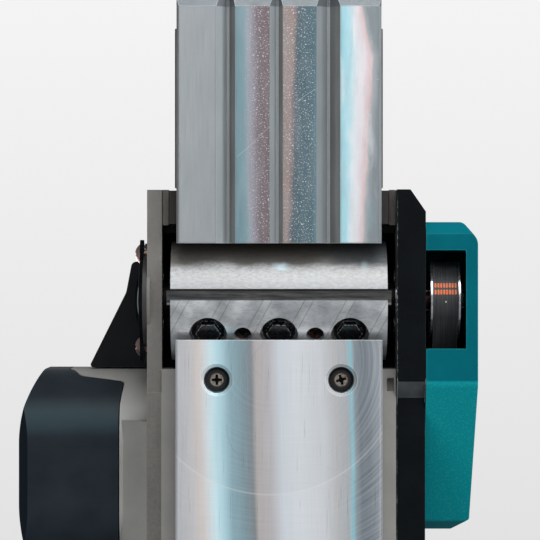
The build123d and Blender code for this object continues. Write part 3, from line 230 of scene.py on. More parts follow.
def cast_paint():
    """Warm grey paint over a die casting, with faint cloudiness and specks."""
    s = Surface("cast_paint", srgb(92, 90, 86), 0.5, Specular_IOR_Level=0.25)
    clouds = s.noise(18 * MM, 4)
    grain = s.noise(1.1 * MM, 3, offset=(3, 1, 0))
    streaks = s.noise(4 * MM, 3, stretch=(1, 6, 1), offset=(4, 0, 1))
    colour = s.ramp(clouds, [(0.3, srgb(69, 67, 64)), (0.7, srgb(81, 79, 76))])
    colour = s.mix(s.between(streaks, 0.4, 0.7, 0.0, 0.3), colour, srgb(102, 99, 93))
    colour = s.mix(s.between(grain, 0.35, 0.7, 0.0, 0.25), colour, srgb(112, 109, 102))
    mottle = s.noise(1.5 * MM, 4, rough=0.7, offset=(2, 8, 1))
    colour = s.mix(s.between(mottle, 0.5, 0.68, 0.0, 0.4), colour, srgb(58, 56, 53))
    specks = s.between(s.noise(2.3 * MM, 2, offset=(7, 0, 2)), 0.70, 0.74)
    colour = s.mix(s.both(specks, 0.6), colour, srgb(70, 68, 64))
    # Paler edges: part wear, part painted highlight.
    colour = s.mix(s.both(s.sharp_edges(), 0.5), colour, srgb(136, 133, 126))
    # Painted light: the casing, the right wall (more so towards the front) and the rear deck are paler;
    # the casing's rounding is palest, a painted highlight.
    x, y, z = s.axis("X"), s.axis("Y"), s.axis("Z")
    aside = s.math("ABSOLUTE", x)
    casing = s.between(x, WALL_OUTSIDE, WALL_OUTSIDE + 0.3 * MM)
    wall = s.within(x, WALL_INSIDE, WALL_OUTSIDE)
    wall = s.both(wall, s.between(y, WALL_DIM, WALL_PALE, 0.15, 0.38))
    deck = s.both(s.within(aside, SOLE_EDGE, WALL_INSIDE), s.between(y, DECK_FRONT + MM, DECK_FRONT))
    rounding_highlight = s.both(casing, s.within(s.facing("Y"), 0.3, 0.5, 0.3))
    lighter = s.mix(clouds, srgb(120, 119, 115), srgb(154, 152, 148))
    paler = s.either(casing, wall, s.both(deck, 0.8))
    colour = s.mix(paler, colour, lighter)
    colour = s.mix(s.both(rounding_highlight, 0.5), colour, srgb(160, 160, 158))
    # The drum's right bearing boss is painted dark below its top, and the chips' way round the drum is
    # painted dark as shade in its deep recess.
    outer = s.between(x, WALL_OUTSIDE + 0.1 * MM, WALL_OUTSIDE + 0.2 * MM)
    below = s.between(z, BOSS_TOP + 3 * MM, BOSS_TOP)
    boss = s.both(outer, s.within(y, BOSS_REAR, BOSS_FRONT), below)
    colour = s.mix(s.both(boss, 0.9), colour, srgb(24, 24, 25))
    round_drum = s.within(y, DRUM_ROOM_REAR, DRUM_ROOM_FRONT)
    round_drum = s.both(round_drum, s.within(z, DRUM_ROOM_LOW, CHIP_WAY_LOW))
    over_drum = s.within(y, DRUM_ROOM_REAR, CHIP_WAY_FRONT)
    over_drum = s.both(over_drum, s.within(z, CHIP_WAY_LOW, CHIP_WAY_TOP))
    inside = s.between(aside, WALL_INSIDE, WALL_INSIDE - 0.1 * MM)
    # Painted shade inside the chips' way.
    way = s.both(inside, s.either(round_drum, over_drum))
    colour = s.mix(way, colour, s.mix(clouds, srgb(10, 10, 10), srgb(24, 23, 22)))
    return s.finish(colour, s.between(grain, 0.3, 0.7, 0.42, 0.6), grain, 0.25, 0.12 * MM)


def moulded(name, base, light, roughness, edge, grain_size=0.7 * MM):
    """Moulded plastic: two close tones, fine grain and slightly paler edges, part wear and part painted
    highlight.
    """
    s = Surface(name, base, roughness, Specular_IOR_Level=0.15)
    clouds = s.noise(12 * MM, 3)
    grain = s.noise(grain_size, 2, offset=(5, 2, 1))
    colour = s.mix(s.between(clouds, 0.35, 0.7), base, light)
    # Paler edges: part wear, part painted highlight.
    colour = s.mix(s.both(s.sharp_edges(0.35 * MM), 0.8), colour, edge)
    roughness = s.between(grain, 0.3, 0.7, roughness - 0.06, roughness + 0.08)
    return s.finish(colour, roughness, grain, 0.3, 0.1 * MM)


def teal_plastic():
    """Teal shell plastic: painted paler, as lit, on faces that look forwards and on slopes behind; the
    slopes are finely flecked.
    """
    s = Surface("teal_plastic", srgb(0, 84, 96), 0.42, Specular_IOR_Level=0.05)
    clouds = s.noise(14 * MM, 3)
    grain = s.noise(0.7 * MM, 2, offset=(2, 4, 1))
    colour = s.mix(s.between(clouds, 0.35, 0.7), srgb(0, 83, 94), srgb(0, 90, 102))
    along = s.facing("Y")
    # Painted light: faces that look forwards are paler.
    colour = s.mix(s.both(s.between(along, 0.25, 0.6), 0.8), colour, srgb(0, 104, 116))
    # Painted light: slopes that look back are paler.
    slanted = s.both(s.between(along, -0.04, -0.12), s.between(along, -0.95, -0.8))
    colour = s.mix(slanted, colour, srgb(6, 127, 134))
    flecks = s.both(s.between(grain, 0.5, 0.72), slanted, 0.22)
    colour = s.mix(flecks, colour, srgb(70, 165, 168))
    # Painted highlight lines along edges and shallow creases.
    colour = s.mix(s.both(s.sharp_edges(0.4 * MM, 0.998, 0.975), 0.45), colour, srgb(40, 160, 166))
    return s.finish(colour, s.between(grain, 0.3, 0.7, 0.36, 0.5), grain, 0.25, 0.08 * MM)


def cap_plastic():
    """Navy end cap: a painted teal highlight on faces that look forwards, darker and matt on the face
    that looks outwards, and painted shade along its edges.
    """
    s = Surface("cap_plastic", srgb(33, 41, 48), 0.4, Specular_IOR_Level=0.15)
    clouds = s.noise(12 * MM, 3)
    grain = s.noise(0.8 * MM, 2, offset=(5, 2, 1))
    colour = s.mix(s.between(clouds, 0.35, 0.7), srgb(25, 31, 37), srgb(31, 38, 44))
    # Painted highlight: a teal band on faces that look forwards.
    front = s.within(s.facing("Y"), 0.28, 0.45, 0.2)
    colour = s.mix(s.both(front, 0.6), colour, srgb(34, 56, 62))
    outward = s.facing("X")
    colour = s.mix(s.between(outward, 0.25, 0.6), colour, srgb(26, 33, 39))
    # Painted shade along the edges.
    colour = s.mix(s.both(s.sharp_edges(0.4 * MM), 0.9), colour, srgb(5, 7, 8))
    s.set("Specular IOR Level", s.between(outward, 0.2, 0.5, 0.12, 0.0))
    return s.finish(colour, s.between(grain, 0.3, 0.7, 0.36, 0.48), grain, 0.25, 0.08 * MM)


def case_plastic():
    """Black belt case with a ramp underneath painted paler as lit, painted highlight lines along the
    ramp's edges, and chipped pale edges.
    """
    s = Surface("case_plastic", srgb(8, 11, 14), 0.42, Specular_IOR_Level=0.08)
    clouds = s.noise(12 * MM, 3)
    grain = s.noise(0.8 * MM, 2, offset=(5, 2, 1))
    colour = s.mix(s.between(clouds, 0.35, 0.7), srgb(5, 8, 11), srgb(9, 13, 17))
    # Painted light: the ramp underneath gets a paler tone, as if lit.
    low = s.between(s.axis("Z"), CASE_RAMP_TOP + 0.4 * MM, CASE_RAMP_TOP)
    ramp = s.both(s.between(s.facing("Y"), -0.3, -0.5), low)
    rubbed = s.mix(s.between(clouds, 0.35, 0.7), srgb(50, 55, 58), srgb(78, 82, 85))
    colour = s.mix(ramp, colour, rubbed)
    # Paler edges: part wear, part painted highlight.
    colour = s.mix(s.both(s.sharp_edges(0.3 * MM), 0.35), colour, srgb(70, 76, 80))
    chips = s.between(s.noise(1.1 * MM, 3, offset=(8, 1, 0)), 0.52, 0.64)
    inner = s.between(s.axis("X"), CASE_INSIDE, CASE_INSIDE + MM)
    colour = s.mix(s.both(s.sharp_edges(0.4 * MM), chips, inner), colour, srgb(176, 180, 180))
    # Painted highlight lines along the ramp's edges.
    seam_highlights = s.both(s.sharp_edges(0.5 * MM), s.within(s.axis("Y"), CASE_SEAM_REAR, CASE_SEAM_FRONT))
    colour = s.mix(s.both(seam_highlights, 0.8), colour, srgb(172, 178, 180))
    return s.finish(colour, s.between(grain, 0.3, 0.7, 0.36, 0.5), grain, 0.3, 0.1 * MM)


def cover_black():
    """Satin black bearing cover with a thin painted highlight line under its dome."""
    s = Surface("cover_black", srgb(16, 18, 19), 0.45, Specular_IOR_Level=0.0)
    clouds = s.noise(6 * MM, 3)
    grain = s.noise(0.6 * MM, 2, offset=(1, 5, 2))
    colour = s.mix(s.between(clouds, 0.35, 0.7), srgb(12, 14, 15), srgb(24, 27, 28))
    # Painted highlight: a thin pale line under the dome.
    dome = s.between(s.facing("X"), 0.3, 0.5)
    line = s.both(dome, s.within(s.facing("Z"), -0.31, -0.29, 0.01))
    colour = s.mix(s.both(line, 0.7), colour, srgb(150, 158, 162))
    # Paler edges: part wear, part painted highlight.
    colour = s.mix(s.both(s.sharp_edges(0.3 * MM), 0.4), colour, srgb(84, 90, 92))
    return s.finish(colour, s.between(grain, 0.3, 0.7, 0.4, 0.54), grain, 0.25, 0.06 * MM)


def soft_rubber():
    """Soft grip with a pebbled surface."""
    s = Surface("soft_rubber", srgb(26, 30, 34), 0.7)
    pebbles = s.node("ShaderNodeTexVoronoi", {"Vector": s.place, "Scale": 700.0}).outputs["Distance"]
    clouds = s.noise(10 * MM, 3)
    colour = s.mix(s.between(clouds, 0.3, 0.7), srgb(22, 26, 30), srgb(34, 38, 42))
    roughness = s.between(pebbles, 0.1, 0.6, 0.62, 0.78)
    return s.finish(colour, roughness, pebbles, 0.5, 0.2 * MM)


# --- Materials: machined metal ------------------------------------------------------------

def painted_reflections(surface, across, bands):
    """Painted reflections: a colour for each place across; bands are (millimetres, display colour)."""
    low, high = bands[0][0], bands[-1][0]
    factor = surface.between(across, low * MM, high * MM)
    stops = [((x - low) / (high - low), srgb(*colour)) for x, colour in bands]
    return surface.ramp(factor, stops)


# Painted reflections across the rear sole.
REAR_REFLECTIONS = [
    (-37.5, (140, 146, 152)),
    (-33.5, (110, 118, 126)),
    (-30.5, (106, 116, 124)),
    (-28.6, (134, 142, 148)),
    (-27.4, (136, 190, 202)),
    (-25.8, (168, 172, 176)),
    (-21.5, (184, 184, 184)),
    (-17.0, (206, 208, 212)),
    (-8.5, (216, 220, 224)),
    (-2.5, (208, 214, 220)),
    (2.0, (184, 180, 182)),
    (6.6, (180, 172, 170)),
    (8.2, (124, 132, 136)),
    (11.5, (124, 148, 156)),
    (16.0, (138, 170, 180)),
    (19.5, (178, 216, 226)),
    (22.5, (206, 234, 240)),
    (25.2, (216, 220, 222)),
    (27.5, (212, 202, 196)),
    (31.0, (194, 192, 194)),
    (37.5, (178, 180, 184)),
]

# Painted reflections across the front sole.
FRONT_REFLECTIONS = [
    (-37.4, (128, 136, 140)),
    (-35.0, (158, 162, 166)),
    (-33.9, (206, 182, 182)),
    (-31.5, (222, 212, 216)),
    (-28.5, (214, 222, 226)),
    (-25.6, (168, 212, 222)),
    (-22.4, (150, 196, 206)),
    (-13.6, (82, 106, 115)),
    (-9.5, (76, 100, 109)),
    (-7.2, (84, 98, 106)),
    (-5.0, (150, 132, 128)),
    (-1.4, (146, 134, 130)),
    (3.4, (112, 98, 101)),
    (7.0, (118, 107, 111)),
    (9.8, (148, 146, 156)),
    (11.2, (148, 156, 164)),
    (12.4, (122, 150, 158)),
    (15.9, (112, 140, 149)),
    (23.0, (150, 155, 158)),
    (37.4, (155, 160, 163)),
]


def machined_rear():
    """Milled and brushed sole: soft vertical painted reflections, lengthwise brushing, mill arcs."""
    s = Surface("machined_rear", (0.6, 0.6, 0.6), 0.34, 0.35)
    x, y = s.axis("X"), s.axis("Y")
    sway = s.between(s.noise(30 * MM, 2, stretch=(1, 4, 1)), 0.3, 0.7, -0.9 * MM, 0.9 * MM)
    colour = painted_reflections(s, s.total(x, sway, s.both(y, -0.03)), REAR_REFLECTIONS)
    brush = s.noise(0.4 * MM, 3, stretch=(1, 60, 1))
    cross = s.noise(0.5 * MM, 2, stretch=(40, 1, 1), offset=(1, 2, 3))
    colour = s.mix(s.between(brush, 0.35, 0.65, 0.0, 0.16), colour, (1, 1, 1), "SOFT_LIGHT")
    colour = s.mix(s.between(cross, 0.4, 0.62, 0.0, 0.05), colour, (0.35, 0.36, 0.38))
    # The last pass of the mill left one wide arc and fainter ones beside it.
    radius = s.distance(s.math("SUBTRACT", x, MILL_X), s.math("SUBTRACT", y, MILL_Y))
    rings = s.node("ShaderNodeTexNoise", {"Scale": 900.0, "Detail": 2.0}, noise_dimensions="1D")
    s.feed(rings.inputs["W"], radius)
    inside = s.between(radius, MILL_RADIUS + 0.2 * MM, MILL_RADIUS - 0.2 * MM)
    line = s.within(radius, MILL_RADIUS, MILL_RADIUS + 0.1 * MM, 0.5 * MM)
    # The fainter arcs are clearest towards the machine's left edge.
    swirls = s.between(rings.outputs["Fac"], 0.4, 0.65)
    swirls = s.both(swirls, s.between(x, -24 * MM, -34 * MM, 0.05, 0.16))
    colour = s.mix(swirls, colour, (0.75, 0.76, 0.78))
    colour = s.mix(s.both(s.hairlines(80 * MM, (0, 2, 5)), 0.4), colour, srgb(120, 124, 128))
    colour = s.mix(s.both(inside, 0.07), colour, (0.3, 0.32, 0.34))
    colour = s.mix(s.both(line, 0.3), colour, (0.78, 0.78, 0.78))
    # Paler edges: part wear, part painted highlight.
    colour = s.mix(s.both(s.sharp_edges(0.5 * MM), 0.9), colour, (0.95, 0.95, 0.96))
    return s.finish(colour, s.between(brush, 0.3, 0.7, 0.27, 0.42), brush, 0.12, 0.03 * MM)


def machined_front():
    """Milled lands with coloured painted reflections and painted sparkle, and smooth grey groove flanks
    with painted light and shade.
    """
    s = Surface("machined_front", (0.4, 0.4, 0.4), 0.4, 0.45)
    x, y, z = s.axis("X"), s.axis("Y"), s.axis("Z")
    sway = s.between(s.noise(20 * MM, 3, stretch=(1, 5, 1)), 0.3, 0.7, -1.2 * MM, 1.2 * MM)
    # The painted reflections slant on the third land, and narrow towards both ends on the fourth.
    slant = s.between(y, FRONT_BASE_REAR, TOE_EDGE, -2 * MM, 0.0)
    slant = s.both(s.within(x, MIDDLE_LANDS_LEFT, 0), slant)
    towards_rear = s.between(y, FRONT_BASE_REAR, REFLECTION_WAIST, 0.45, 0.0)
    towards_toe = s.between(y, REFLECTION_WAIST + MM, TOE_EDGE, 0.0, 0.6)
    past = s.math("MINIMUM", s.total(x, -REFLECTION_SIDE), 0.0)
    narrow = s.both(past, s.total(towards_rear, towards_toe))
    ragged = s.noise(3 * MM, 4, stretch=(1, 3, 1), rough=0.6)
    ragged = s.between(ragged, 0.3, 0.7, -0.4 * MM, 0.4 * MM)
    lands = painted_reflections(s, s.total(x, sway, slant, narrow, ragged), FRONT_REFLECTIONS)
    # The fourth land's painted reflection is cloudy.
    fourth = s.between(x, FOURTH_LAND_RIGHT, FOURTH_LAND_RIGHT - MM)
    fourth = s.both(fourth, s.between(x, FOURTH_LAND_LEFT, FOURTH_LAND_LEFT + 2 * MM))
    wisps = s.noise(7 * MM, 5, stretch=(1, 3.5, 1), rough=0.6, offset=(6, 3, 0))
    lands = s.mix(s.both(fourth, s.between(wisps, 0.5, 0.7, 0.0, 0.5)), lands, srgb(234, 238, 240))
    lands = s.mix(s.both(fourth, s.between(wisps, 0.46, 0.3, 0.0, 0.4)), lands, srgb(150, 184, 190))
    # Painted sparkle, pits and dust are thickest on the two middle lands.
    middle = s.between(x, MIDDLE_LANDS_RIGHT, MIDDLE_LANDS_RIGHT - 5 * MM)
    middle = s.both(middle, s.between(x, MIDDLE_LANDS_LEFT, MIDDLE_LANDS_LEFT + 2 * MM))
    fine = s.between(s.noise(0.5 * MM, 1, offset=(4, 4, 0)), 0.60, 0.74)
    coarse = s.between(s.noise(1.1 * MM, 2, offset=(2, 9, 0)), 0.66, 0.74)
    lands = s.mix(s.both(s.either(fine, coarse), middle, 0.9), lands, (0.75, 0.76, 0.78))
    pits = s.between(s.noise(0.5 * MM, 2, offset=(1, 7, 2), rough=0.7), 0.58, 0.7, 0.0, 0.35)
    lands = s.mix(s.both(pits, s.either(middle, 0.3)), lands, srgb(60, 58, 60))
    dust_and_sheen = s.between(s.noise(5 * MM, 4, stretch=(1, 4, 1), offset=(1, 1, 1)), 0.45, 0.75, 0.0, 0.2)
    lands = s.mix(s.both(dust_and_sheen, s.either(middle, 0.7)), lands, srgb(176, 176, 178))
    lands = s.mix(s.both(s.hairlines(90 * MM, (3, 1, 0)), 0.45), lands, srgb(206, 210, 212))
    brush = s.noise(0.4 * MM, 3, stretch=(1, 40, 1))
    lands = s.mix(s.between(brush, 0.35, 0.65, 0.0, 0.10), lands, (1, 1, 1), "SOFT_LIGHT")
    # Painted light and shade: groove flanks that face one way are paler, those facing the other darker
    # and browner.
    turns = [(0, srgb(136, 144, 148)), (0.5, srgb(146, 151, 153)), (1, srgb(110, 108, 103))]
    flanks = s.ramp(s.between(s.facing("X"), -0.8, 0.8), turns)
    cloud = s.noise(6 * MM, 3, stretch=(1, 6, 1), offset=(2, 2, 2))
    flanks = s.mix(s.between(cloud, 0.35, 0.7, 0.0, 0.3), flanks, srgb(172, 178, 182))
    deep = s.between(z, GROOVE_DEEP - 0.8 * MM, GROOVE_DEEP)
    deep = s.both(deep, s.between(z, GROOVE_BOTTOM + 0.2 * MM, GROOVE_BOTTOM))
    toe = s.between(y, TOE_EDGE - 0.4 * MM, TOE_EDGE - 0.1 * MM)
    flanks = s.mix(toe, flanks, s.mix(cloud, srgb(84, 90, 94), srgb(112, 118, 122)))
    rim = s.both(s.sharp_edges(0.9 * MM, 0.9995, 0.98), s.between(z, LAND_FLAT, 0.02 * MM))
    lands = s.mix(s.both(rim, 0.4), lands, srgb(66, 74, 78))
    colour = s.mix(s.between(z, LAND_FLAT, 0.2 * MM), lands, flanks)
    colour = s.mix(toe, colour, flanks)
    colour = s.mix(s.both(deep, 0.35), colour, srgb(84, 86, 88))
    side = s.math("ABSOLUTE", x)
    # Painted shade: past the sole's edge the cast ears are dark.
    ears_in_shade = s.mix(cloud, srgb(30, 27, 25), srgb(66, 60, 56))
    colour = s.mix(s.between(side, SOLE_EDGE + 0.02 * MM, SOLE_EDGE + 0.1 * MM), colour, ears_in_shade)
    in_land = s.between(side, SOLE_EDGE + 0.1 * MM, SOLE_EDGE)
    # Paler land edges: part wear, part painted highlight.
    colour = s.mix(s.both(s.sharp_edges(0.4 * MM), 0.6, in_land), colour, srgb(214, 218, 220))
    return s.finish(colour, s.between(brush, 0.3, 0.7, 0.32, 0.48), brush, 0.12, 0.03 * MM)


def turned_drum():
    """Drum body: fine turning lines, and short grain along the drum where chips rub it."""
    s = Surface("turned_drum", srgb(186, 188, 190), 0.42, 0.6)
    lines = s.noise(0.6 * MM, 2, stretch=(1, 60, 60))
    grain = s.noise(0.8 * MM, 4, stretch=(2.2, 1, 1), rough=0.65, offset=(9, 0, 0))
    pits = s.noise(0.7 * MM, 2, offset=(1, 6, 0))
    colour = s.ramp(grain, [(0.35, srgb(132, 132, 130)), (0.65, srgb(168, 170, 172))])
    colour = s.mix(s.between(lines, 0.4, 0.7, 0.0, 0.18), colour, srgb(140, 140, 140))
    colour = s.mix(s.between(pits, 0.60, 0.74, 0.0, 0.5), colour, srgb(96, 92, 86))
    # Painted light: away from the blade's edge the steel is painted darker as shade, with an uneven
    # border and painted cool glints on it; nearer the edge, where it looks down, it is painted paler as a
    # highlight.
    below = s.math("SIGN", s.both(s.facing("Z"), -1))
    turn = s.both(s.facing("Y"), below)
    uneven = s.between(s.noise(9 * MM, 3, stretch=(1.5, 1, 1), offset=(2, 0, 5)), 0.3, 0.7, -0.05, 0.05)
    turn = s.total(turn, uneven)
    pale = s.mix(s.between(turn, 0.2, 0.52), srgb(176, 180, 184), srgb(184, 184, 184))
    colour = s.mix(s.between(turn, 0.55, 0.2, 0.0, 0.35), colour, pale)
    drum_shade = s.mix(s.between(s.axis("X"), -30 * MM, -12 * MM), srgb(84, 90, 93), srgb(100, 95, 88))
    colour = s.mix(s.between(turn, 0.56, 0.63, 0.0, 0.8), colour, drum_shade)
    glints = s.between(s.noise(16 * MM, 2, stretch=(1, 99, 99), offset=(7, 0, 0)), 0.55, 0.62, 0.0, 0.75)
    colour = s.mix(s.both(glints, s.within(turn, 0.55, 0.6, 0.05)), colour, srgb(186, 208, 216))
    return s.finish(colour, s.between(grain, 0.3, 0.7, 0.42, 0.56), grain, 0.45, 0.1 * MM)


def ground_blade():
    """Blade steel: two ground tones, smeared lengthwise."""
    s = Surface("ground_blade", srgb(120, 122, 124), 0.36, 0.8)
    smear = s.noise(1.2 * MM, 5, stretch=(12, 1, 1), rough=0.7)
    fine = s.noise(0.4 * MM, 2, stretch=(60, 1, 1))
    tones = [(0.36, srgb(58, 62, 66)), (0.5, srgb(86, 86, 85)), (0.64, srgb(120, 114, 106))]
    colour = s.ramp(smear, tones)
    colour = s.mix(s.between(fine, 0.4, 0.7, 0.0, 0.3), colour, srgb(140, 142, 144))
    # Paler edges: part wear, part painted highlight.
    colour = s.mix(s.both(s.sharp_edges(0.3 * MM), 0.3), colour, srgb(200, 200, 198))
    y = s.axis("Y")
    edge = s.within(y, BLADE_EDGE - 0.7 * MM, BLADE_EDGE)
    back = s.within(y, BLADE_BACK, BLADE_BACK + 0.5 * MM)
    # Painted shadow: a thin dark red-brown line along the cutting edge.
    colour = s.mix(s.both(edge, 0.85), colour, srgb(40, 26, 22))
    colour = s.mix(s.both(back, 0.6), colour, srgb(190, 192, 194))
    return s.finish(colour, s.between(smear, 0.3, 0.7, 0.28, 0.5), fine, 0.15, 0.03 * MM)


def ground_clamp():
    """Clamp plate: ground steel crossed by broad slanting passes."""
    s = Surface("ground_clamp", srgb(150, 152, 154), 0.36, 0.7)
    x, y = s.axis("X"), s.axis("Y")
    slant = s.total(x, s.both(y, 0.55))
    wave = s.math("FRACT", s.both(slant, 1 / CLAMP_PASS))
    stripe = s.within(wave, 0.42, 0.60, 0.02)
    rims = s.total(s.within(wave, 0.40, 0.41, 0.015), s.within(wave, 0.61, 0.62, 0.015))
    cloud = s.noise(6 * MM, 4)
    grain = s.noise(0.6 * MM, 3, stretch=(3, 1, 1))
    colour = s.ramp(cloud, [(0.3, srgb(162, 164, 167)), (0.7, srgb(206, 208, 210))])
    colour = s.mix(s.both(stripe, 0.2), colour, srgb(206, 204, 200))
    colour = s.mix(s.both(rims, 0.4), colour, srgb(84, 84, 84))
    colour = s.mix(s.between(grain, 0.5, 0.75, 0.0, 0.3), colour, srgb(104, 104, 104))
    roughness = s.between(cloud, 0.3, 0.7, 0.3, 0.46)
    return s.finish(colour, roughness, s.total(grain, stripe), 0.2, 0.06 * MM)


def plated(name, colour, roughness=0.3):
    """Small plated steel parts with faint handling marks."""
    s = Surface(name, colour, roughness, 0.9)
    marks = s.noise(1.6 * MM, 3)
    low = tuple(c * 0.75 for c in colour)
    high = tuple(min(1, c * 1.15) for c in colour)
    roughness = s.between(marks, 0.3, 0.7, roughness - 0.06, roughness + 0.1)
    return s.finish(s.mix(s.between(marks, 0.35, 0.7), low, high), roughness, marks, 0.08, 0.04 * MM)


def oiled_sleeve():
    """Steel sleeve, dark with oil and rust, with a painted highlight along each of its two sides."""
    s = Surface("oiled_sleeve", srgb(60, 40, 38), 0.35, 0.7)
    # Painted highlight: along the two sides the sleeve is white and not metallic.
    side = s.between(s.math("ABSOLUTE", s.facing("Y")), 0.76, 0.86)
    marks = s.noise(0.9 * MM, 3)
    dark = s.mix(s.between(marks, 0.35, 0.65), srgb(28, 16, 16), srgb(70, 30, 30))
    s.set("Base Color", s.mix(side, dark, srgb(232, 232, 230)))
    s.set("Metallic", s.between(side, 0, 1, 0.7, 0.0))
    s.set("Roughness", s.between(marks, 0.3, 0.7, 0.3, 0.5))
    s.bump(marks, 0.1, 0.04 * MM)
    return s.material


def oiled_screw():
    """Small black screws with a few painted orange-red glints."""
    s = Surface("oiled_screw", srgb(18, 17, 17), 0.32, 0.4)
    # Painted glints: small red-brown patches.
    rust = s.between(s.noise(1.1 * MM, 2, offset=(3, 3, 3)), 0.60, 0.68)
    roughness = s.between(rust, 0, 1, 0.28, 0.6)
    return s.finish(s.mix(rust, srgb(14, 14, 15), srgb(150, 52, 34)), roughness, rust, 0.2, 0.05 * MM)


def black_bolt():
    """Blackened bolts with an oily gloss, and paler edges, part wear and part painted highlight."""
    s = Surface("black_bolt", srgb(10, 11, 12), 0.28, 0.3, Coat_Weight=0.25, Coat_Roughness=0.2)
    marks = s.noise(1.2 * MM, 3)
    colour = s.mix(s.between(marks, 0.4, 0.7), srgb(5, 5, 6), srgb(16, 17, 19))
    # Paler rubbed edges: part wear, part painted highlight.
    rubbed = s.both(s.sharp_edges(0.5 * MM), s.between(marks, 0.4, 0.55))
    roughness = s.between(marks, 0.3, 0.7, 0.2, 0.42)
    return s.finish(s.mix(rubbed, colour, srgb(176, 182, 186)), roughness, marks, 0.15, 0.05 * MM)


def sole_screw(places):
    """Black screw head whose middle round the cross recess carries a painted highlight of bright steel.
    """
    s = Surface("sole_screw", srgb(20, 20, 20), 0.35, 0.6)
    x, y, z = s.axis("X"), s.axis("Y"), s.axis("Z")
    nearest = 1.0
    for screw_x, screw_y in places:
        away = s.distance(s.math("SUBTRACT", x, screw_x), s.math("SUBTRACT", y, screw_y))
        nearest = s.math("MINIMUM", nearest, away)
    # Painted highlight: the middle of each head is bright steel.
    bright = s.between(nearest, SCREW_LIT_RADIUS + 0.5 * MM, SCREW_LIT_RADIUS)
    on_face = s.between(z, SCREW_FACE + 0.6 * MM, SCREW_FACE)
    marks = s.noise(0.9 * MM, 3)
    steel = s.mix(s.between(marks, 0.3, 0.7), srgb(112, 94, 82), srgb(196, 186, 176))
    s.set("Base Color", s.mix(s.both(bright, on_face), srgb(22, 22, 24), steel))
    s.set("Metallic", s.between(bright, 0, 1, 0.3, 0.9))
    s.bump(marks, 0.2, 0.06 * MM)
    return s.material


def belt_rubber():
    """Black rubber with fine lines along its run, and a painted grey sheen where it leaves the pulley."""
    s = Surface("belt_rubber", srgb(26, 28, 30), 0.5)
    lines = s.noise(0.22 * MM, 2, stretch=(1, 90, 90))
    colour = s.mix(s.between(lines, 0.35, 0.7), srgb(12, 13, 14), srgb(54, 56, 58))
    # Painted sheen: greyer where the belt leaves the pulley.
    sheen = s.between(s.math("ABSOLUTE", s.facing("Y")), 0.45, 0.85, 0.0, 0.7)
    dust_and_sheen = s.mix(s.between(lines, 0.35, 0.7), srgb(58, 60, 62), srgb(128, 130, 132))
    colour = s.mix(sheen, colour, dust_and_sheen)
    return s.finish(colour, s.between(lines, 0.3, 0.7, 0.4, 0.6), lines, 0.3, 0.08 * MM)


def ink(name, light, dark):
    """Printed marks, rubbed in places."""
    s = Surface(name, light, 0.5)
    patchy = s.noise(0.5 * MM, 3)
    roughness = s.between(patchy, 0.3, 0.7, 0.45, 0.6)
    return s.finish(s.mix(s.between(patchy, 0.35, 0.65), dark, light), roughness, patchy, 0.2, 0.03 * MM)


def copper():
    """Lacquered winding wire."""
    s = Surface("copper", srgb(176, 98, 60), 0.35, 0.8)
    wires = s.node("ShaderNodeTexWave", {"Vector": s.place, "Scale": 420.0, "Distortion": 2.0})
    s.set("Base Color", s.mix(wires.outputs["Fac"], srgb(120, 60, 34), srgb(206, 124, 78)))
    s.bump(wires.outputs["Fac"], 0.5, 0.3 * MM)
    return s.material


def laminated_iron():
    """Stacked sheet iron."""
    s = Surface("laminated_iron", srgb(98, 98, 100), 0.45, 0.8)
    sheets = s.node("ShaderNodeTexWave", {"Vector": s.place, "Scale": 300.0}, bands_direction="X")
    s.set("Base Color", s.mix(sheets.outputs["Fac"], srgb(66, 66, 70), srgb(120, 120, 124)))
    s.bump(sheets.outputs["Fac"], 0.4, 0.2 * MM)
    return s.material


# --- Dressing the CAD nodes ---------------------------------------------------------------

